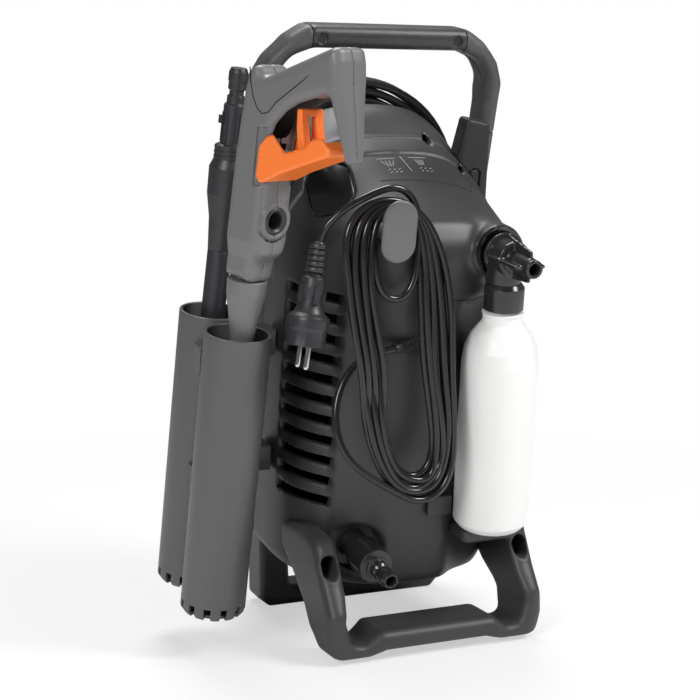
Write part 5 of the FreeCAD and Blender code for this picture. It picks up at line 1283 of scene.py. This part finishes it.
class SprayGun:
    """Two half shells, trigger, folding lock, hose port and wand."""

    outline = [(-12, 311), (23, 311), (25, 330), (34, 338), (34, 436), (39, 451), (51, 464), (65, 473),
               (98, 486), (104, 468), (111, 450), (116, 436), (120, 433), (124, 437), (118, 462), (111, 492),
               (107, 514), (103, 524), (96, 524), (60, 507), (20, 488), (12, 497), (3, 495), (-3, 475),
               (-8, 420)]
    lever = [(24, 406), (29, 401), (36, 403), (53, 413), (79, 425), (108, 438), (109, 444), (98, 452),
             (88, 449), (80, 441), (70, 437), (57, 432), (52, 435), (40, 444), (33, 441), (25, 432)]
    room = [(10, 395), (35, 395), (35, 406), (52, 416.5), (78, 428.5), (104, 441), (98, 460), (20, 460),
            (10, 440)]
    plate = [(66, 431), (73, 431), (73, 440), (68, 458), (66, 469), (60, 469), (61, 455)]
    sweep = [(30, 428), (92, 428), (92, 478), (80, 482), (66, 482), (52, 478), (42, 471), (32, 459)]

    port_height = 368.0
    pivot = (27.5, 424.0)
    lock_pin = (69.5, 434.5)

    def __init__(self) -> None:
        """Round the outlines."""
        self.line = filleted(self.outline, 7)
        self.lever_line = filleted(self.lever, 3, 3)
        self.room_line = filleted(self.room, 2, 2)

    def body(self, a: Array, h: Array, z: Array) -> Array:
        """Return the closed gun: rounded flanks, a narrow neck, a handle that thins to its free end."""
        thick = (19 - 3.6 * np.clip((348 - h) / 16, 0, 1)
                 - 7 * np.clip((a - 88) / 20, 0, 1) * np.clip((500 - h) / 60, 0, 1))
        return soft_max(polygon(self.line, a, h), np.abs(z) - thick, 11)

    def half(self, a: Array, h: Array, z: Array) -> Array:
        """Return both shells with their openings."""
        outer = self.body(a, h, z)
        made = np.maximum(outer, -(outer + 4.5))
        cheek = polygon([(21, 398), (60, 398), (60, 452), (21, 447)], a, h)
        made = soft_max(made, -np.maximum(cheek, 16 - np.abs(z)), 1.0)
        made = soft_max(made, -np.maximum(polygon(self.sweep, a, h), np.abs(z) - 13.1), 1.0)
        made = np.maximum(made, -rod(h, z, a, (self.port_height, 0), 12, low=16))
        collar = np.maximum(np.abs(np.hypot(h - self.port_height, z) - 14) - 2, np.maximum(30 - a, a - 35.6))
        made = soft_min(made, collar, 1.2)
        arch = np.maximum(np.abs(capsule_line(z, h, (0, 366), (0, 394), 16)) - 0.75,
                          np.maximum(31 - a, 345 - h))
        made = soft_max(made, -arch, 0.6)
        made = np.maximum(made, -rod(a, z, h, (5.5, 0), 11, high=395))
        return np.maximum(made, -rod(a, h, z, self.pivot, 2.55, -17, 17))

    def trigger(self, a: Array, h: Array, z: Array) -> Array:
        """Return the trigger: an open channel on its pin."""
        made = soft_max(polygon(self.lever_line, a, h), np.abs(z) - 19.5, 3)
        made = soft_max(made, -np.maximum(polygon(self.room_line, a, h), np.abs(z) - 16.5), 1)
        made = np.maximum(made, -rod(a, h, z, self.lock_pin, 2.6, -18.5, 18.5))
        return np.minimum(made, rod(a, h, z, self.pivot, 2.5, -19.3, 19.3))

    def lock(self, a: Array, h: Array, z: Array) -> Array:
        """Return the lock: a slotted plate on a cross pin."""
        made = soft_max(polygon(filleted(self.plate, 2, 3), a, h), np.abs(z) - 12.5, 2)
        window = np.maximum(np.maximum(441 - h, h - 463), np.abs(z) - 4)
        made = soft_max(made, -window, 1.5)
        return np.minimum(made, rod(a, h, z, self.lock_pin, 2.5, -18.4, 18.4))

    def build(self) -> None:
        """Build the gun's pieces."""
        step = 1.4
        for name, sign in (("left", 1), ("right", -1)):
            def one(a: Array, h: Array, z: Array, sign: int = sign) -> Array:
                return soft_max(self.half(a, h, z), 0.12 - sign * z, 0.5)
            low, high = sorted((0, 19 * sign))
            mesh = skin(one, (-8, 310, low), (125, 525, high), step, GUN)
            shown(f"gun_half_{name}", "moulded", mesh, GUN_SHELL, Body.GUN, 45)
        lever = skin(self.trigger, (22, 399, -20), (111, 454, 20), 1.0, GUN)
        shown("trigger", "moulded", lever, ORANGE, Body.TRIGGER, 45)
        lock = skin(self.lock, (58, 429, -19), (75, 471, 19), 0.8, GUN)
        shown("trigger_lock", "moulded", lock, ORANGE, Body.LOCK, 45)
        port = lathe([(7.4, 4), (11.8, 4), (11.8, 18.5), (10.6, 19.4), (9.2, 19.4), (7.4, 17.8), (7.4, 4)],
                     GUN @ moved(16, self.port_height, 0) @ spun(90, "Y"), 48, 0.4)
        shown("gun_port", "turned", port, BLACK, Body.GUN, 35)
        wand = lathe([(4, -3.6), (8, -3.6), (8, 72), (10.5, 74), (10.5, 256), (12.5, 270), (17.4, 297),
                      (17.8, 310.8), (4, 310.8), (4, -3.6)], BARREL, 64, 1.5)
        side_line = [(5, 494, 18.8), (8, 482, 19), (13, 470, 19), (19, 462, 19), (26, 458.5, 19),
                     (33, 461, 19), (42, 471, 19), (59, 484, 19), (72, 494, 18.9), (86, 507, 18)]
        line_piece("gun_side_line", side_line, 0.5, SEAM, Body.GUN, GUN)
        shown("gun_wand", "turned", wand, GUN_SHELL, Body.GUN, 35)


# ---------------------------------------------------------------- lance

class Lance:
    """Straight lance with a turning nozzle at its lower end."""

    def build(self) -> None:
        """Build the lance's three pieces."""
        nozzle = lathe([(2, 0), (8.4, 0), (9, 1), (12, 8), (12, 40), (10.5, 44), (5.35, 44), (5.35, 20),
                        (2, 20), (2, 0)], LANCE, 72, 0.6, 20, 0.7, (9, 39))
        shown("lance_nozzle", "turned", nozzle, BLACK, Body.NOZZLE, 35)
        tube = lathe([(3, 20.3), (5, 20.3), (5, 44.3), (9, 44.3), (11, 50), (11, 321), (3, 321), (3, 20.3)],
                     LANCE, 64, 1.0)
        shown("lance_tube", "turned", tube, BLACK, Body.LANCE, 35)
        top = lathe([(3, 321), (11, 321), (13, 351), (17, 373), (17.5, 397), (14, 405), (14, 417), (10, 419),
                     (10, 453), (8, 455), (8, 461), (6.5, 462), (6.5, 466), (8, 467), (8, 473), (8.6, 475),
                     (8.6, 482), (7, 486), (3, 486), (3, 321)], LANCE, 72, 0.8)
        ring = lathe([(12, -1.4), (14.6, -1.4), (14.6, 1.4), (12, 1.4), (12, -1.4)], WORLD, 48, 0.5)
        rings = REPEATS.laid(ring, 3, BLACK, LANCE @ moved(0, 0, 406.5), (0, 0, 4.2))
        lug = block_mesh((7, -2.4, -3.5), (13.5, 2.4, 3.5))
        rib = block_mesh((8.5, -0.9, -13), (10.8, 0.9, 13))
        lugs = REPEATS.laid(lug, 2, BLACK, LANCE @ moved(0, 0, 440), turn=180)
        ribs = REPEATS.laid(rib, 10, BLACK, LANCE @ moved(0, 0, 433), turn=36)
        shown("lance_handle", "turned", joined(top, ribs, rings, lugs), BLACK, Body.LANCE, 35)


# ---------------------------------------------------------------- foam unit

class FoamUnit:
    """Socket on the casing, foam nozzle, ribbed cap and soft white bottle."""

    def nozzle(self, x: Array, d: Array, w: Array) -> Array:
        """Return the nozzle: plug, hub, crossing fins, tip and the neck down to the cap, in one moulding."""
        across = np.hypot(x - FOAM_X, w - FOAM_W)
        stem = np.maximum(across - 12, np.maximum(-78 - d, d + 49.3))
        hub = soft_max(across - 16, np.maximum(-84 - d, d + 58.3), 3)
        flange = soft_max(across - 19.5, np.abs(d + 62) - 2.2, 1.5)
        tip = soft_max(across - 8.5, np.maximum(-119 - d, d + 60), 1.5)
        reach = 21 - 6 * np.clip((-66 - d) / 46, 0, 1)
        along = np.abs(d + 89) - 24
        flat = soft_max(soft_max(across - reach, np.abs(w - FOAM_W) - 1.6, 1.5), along, 4)
        tall = soft_max(soft_max(across - reach + 1, np.abs(x - FOAM_X) - 1.6, 1.5), along, 4)
        bottle_axis = FOAM_X - (FOAM_W - w) * 0.047
        neck = soft_max(np.hypot(x - bottle_axis, d - FOAM_D) - 16, np.maximum(361 - w, w - 384), 3)
        neck = np.maximum(neck, d + 58.3)
        made = soft_min(soft_min(stem, hub, 1), tip, 3)
        made = soft_min(soft_min(made, flat, 2), tall, 2)
        made = soft_min(soft_min(made, neck, 2.5), flange, 1)
        return soft_max(made, -rod(x, w, d, (FOAM_X, FOAM_W), 5.4, high=-88), 0.8)

    def build(self) -> None:
        """Build the foam unit's pieces."""
        copied("foam_boss", GLOSS, 1.4, "casing")
        nozzle = skin(self.nozzle, (31, -120, 360), (77, -48, 410), 1.1)
        shown("foam_nozzle", "moulded", nozzle, ADAPTER, Body.FOAM, 45)
        cap = lathe([(15.4, -50), (18.3, -50), (18.3, -29), (15.3, -25), (0, -25), (0, -30.7), (15.4, -30.7),
                     (15.4, -50)], BOTTLE, 96, 0.8, 32, 0.8, (-48, -30))
        shown("foam_cap", "fluted", cap, ADAPTER, Body.FOAM, 35)
        bottle = lathe([
            (0, -262.5), (26, -263), (30, -263), (35.5, -256), (35.5, -101), (33.6, -86), (28.5, -74),
            (18.5, -61.5), (18, -54.2), (19.3, -54), (19.3, -52.4), (15, -52), (15, -31), (13.6, -31),
            (13.6, -61), (25, -73), (31.3, -87), (34.1, -102), (34.1, -257), (30.5, -261.6), (0, -261.6)],
            BOTTLE, 96, 5.0)
        shown("foam_bottle", "blown", bottle, BOTTLE_WHITE, Body.BOTTLE, 30)


# ---------------------------------------------------------------- inner pieces and studio

INNER = {
    ADAPTER: ["inlet_stub"], PIN: ["inlet_filter"], BLACK: ["inlet_pipe", "motor_fan", "switch_box"],
    PUMP: ["pump_head", "pump_housing", "motor_case", "wobble_plate"], STEEL: ["pump_pistons", "motor_shaft"],
    BRASS: ["outlet_fitting", "gun_valve"], CORE: ["motor_bearings", "motor_stator", "motor_rotor"],
}


def dress_inner() -> None:
    """Give the pieces inside the machine their finishes."""
    for finish, node in [(finish, node) for finish, nodes in INNER.items() for node in nodes]:
        item = NODES[node]
        if not item.material_slots:
            item.data.materials.append(finish.material())
        for holder in item.material_slots:
            holder.material = finish.material()
        log.info("%s dressed as %s", node, finish.name)


class Studio:
    """Camera, lamps, floor and backdrop."""

    aim = Vector((0, -0.1, 0.28))

    def camera(self) -> None:
        """Set the camera."""
        data = bpy.data.cameras.new("camera")
        data.lens, data.sensor_width = 82.8, 36
        item = standing("camera", data)
        item.location = (-0.661, -1.498, 0.480)
        item.rotation_euler = (math.radians(82.2), 0, math.radians(-24))
        bpy.context.scene.camera = item

    def lamp(self, name: str, spot: Sequence[float], size: float, power: float) -> None:
        """Add a soft lamp that faces the machine."""
        data = bpy.data.lights.new(name, "AREA")
        data.shape, data.size, data.energy = "DISK", size, power
        item = standing(name, data)
        item.location = spot
        item.rotation_euler = (self.aim - Vector(spot)).to_track_quat("-Z", "Y").to_euler()

    def world(self) -> None:
        """Make the backdrop white to the camera and through clear pieces, and even grey light elsewhere."""
        world = bpy.data.worlds.new("studio")
        bpy.context.scene.world = world
        world.use_nodes = True
        tree = world.node_tree
        back = tree.nodes["Background"].inputs
        path = node_in(tree, "ShaderNodeLightPath").outputs
        seen = node_in(tree, "ShaderNodeMath", operation="MAXIMUM")
        level = node_in(tree, "ShaderNodeMapRange", {"To Min": 0.17, "To Max": 1.0})
        wired(tree, (path["Is Camera Ray"], seen.inputs[0]), (path["Is Transmission Ray"], seen.inputs[1]),
              (seen.outputs[0], level.inputs["Value"]), (level.outputs["Result"], back["Strength"]))
        back["Color"].default_value = (1, 1, 1, 1)

    def floor(self) -> None:
        """Lay the pale floor, which turns to plain white away from the machine."""
        bpy.ops.mesh.primitive_circle_add(vertices=96, radius=6, fill_type="NGON", location=(0, 0, -0.0005))
        item = bpy.context.object
        item.name = "studio_floor"
        made = bpy.data.materials.new("studio_floor")
        made.use_nodes = True
        tree = made.node_tree
        shader = tree.nodes["Principled BSDF"]
        shader.inputs["Base Color"].default_value = (0.93, 0.93, 0.93, 1)
        shader.inputs["Roughness"].default_value = 0.7
        glow, mix = node_in(tree, "ShaderNodeEmission"), node_in(tree, "ShaderNodeMixShader")
        place, path = node_in(tree, "ShaderNodeTexCoord"), node_in(tree, "ShaderNodeLightPath")
        far = node_in(tree, "ShaderNodeVectorMath", operation="LENGTH")
        span = node_in(tree, "ShaderNodeMapRange", {
            "From Min": 0.25, "From Max": 1.0, "To Min": 0.55, "To Max": 1.0})
        seen = node_in(tree, "ShaderNodeMath", operation="MULTIPLY")
        wired(tree, (place.outputs["Object"], far.inputs[0]), (far.outputs["Value"], span.inputs["Value"]),
              (span.outputs["Result"], seen.inputs[0]), (path.outputs["Is Camera Ray"], seen.inputs[1]),
              (seen.outputs[0], mix.inputs["Fac"]), (shader.outputs[0], mix.inputs[1]),
              (glow.outputs[0], mix.inputs[2]),
              (mix.outputs[0], tree.nodes["Material Output"].inputs["Surface"]))
        item.data.materials.append(made)

    def build(self) -> None:
        """Set up the studio."""
        bpy.context.scene.view_settings.view_transform = "Standard"
        self.camera()
        self.lamp("key", (1.1, -1.2, 1.7), 0.8, 33)
        self.lamp("fill", (-1.7, -1.5, 1.3), 0.9, 27)
        self.lamp("top", (0.1, 0.6, 2.1), 1.0, 27)
        self.world()
        self.floor()


def main() -> None:
    """Build the whole scene in order."""
    logging.basicConfig(level=logging.INFO, format="%(name)s: %(message)s")
    for name in ("Cube", "Light", "Camera"):
        if name in bpy.data.objects:
            bpy.data.objects.remove(bpy.data.objects[name])
    casing = Casing()
    for assembly in (Studio(), PowerCord(), PressureHose(), casing, Feet(casing), Hoop(casing), Holsters(),
                     Fittings(), SprayGun(), Lance(), FoamUnit()):
        assembly.build()
    dress_inner()


if __name__ == "__main__":
    main()
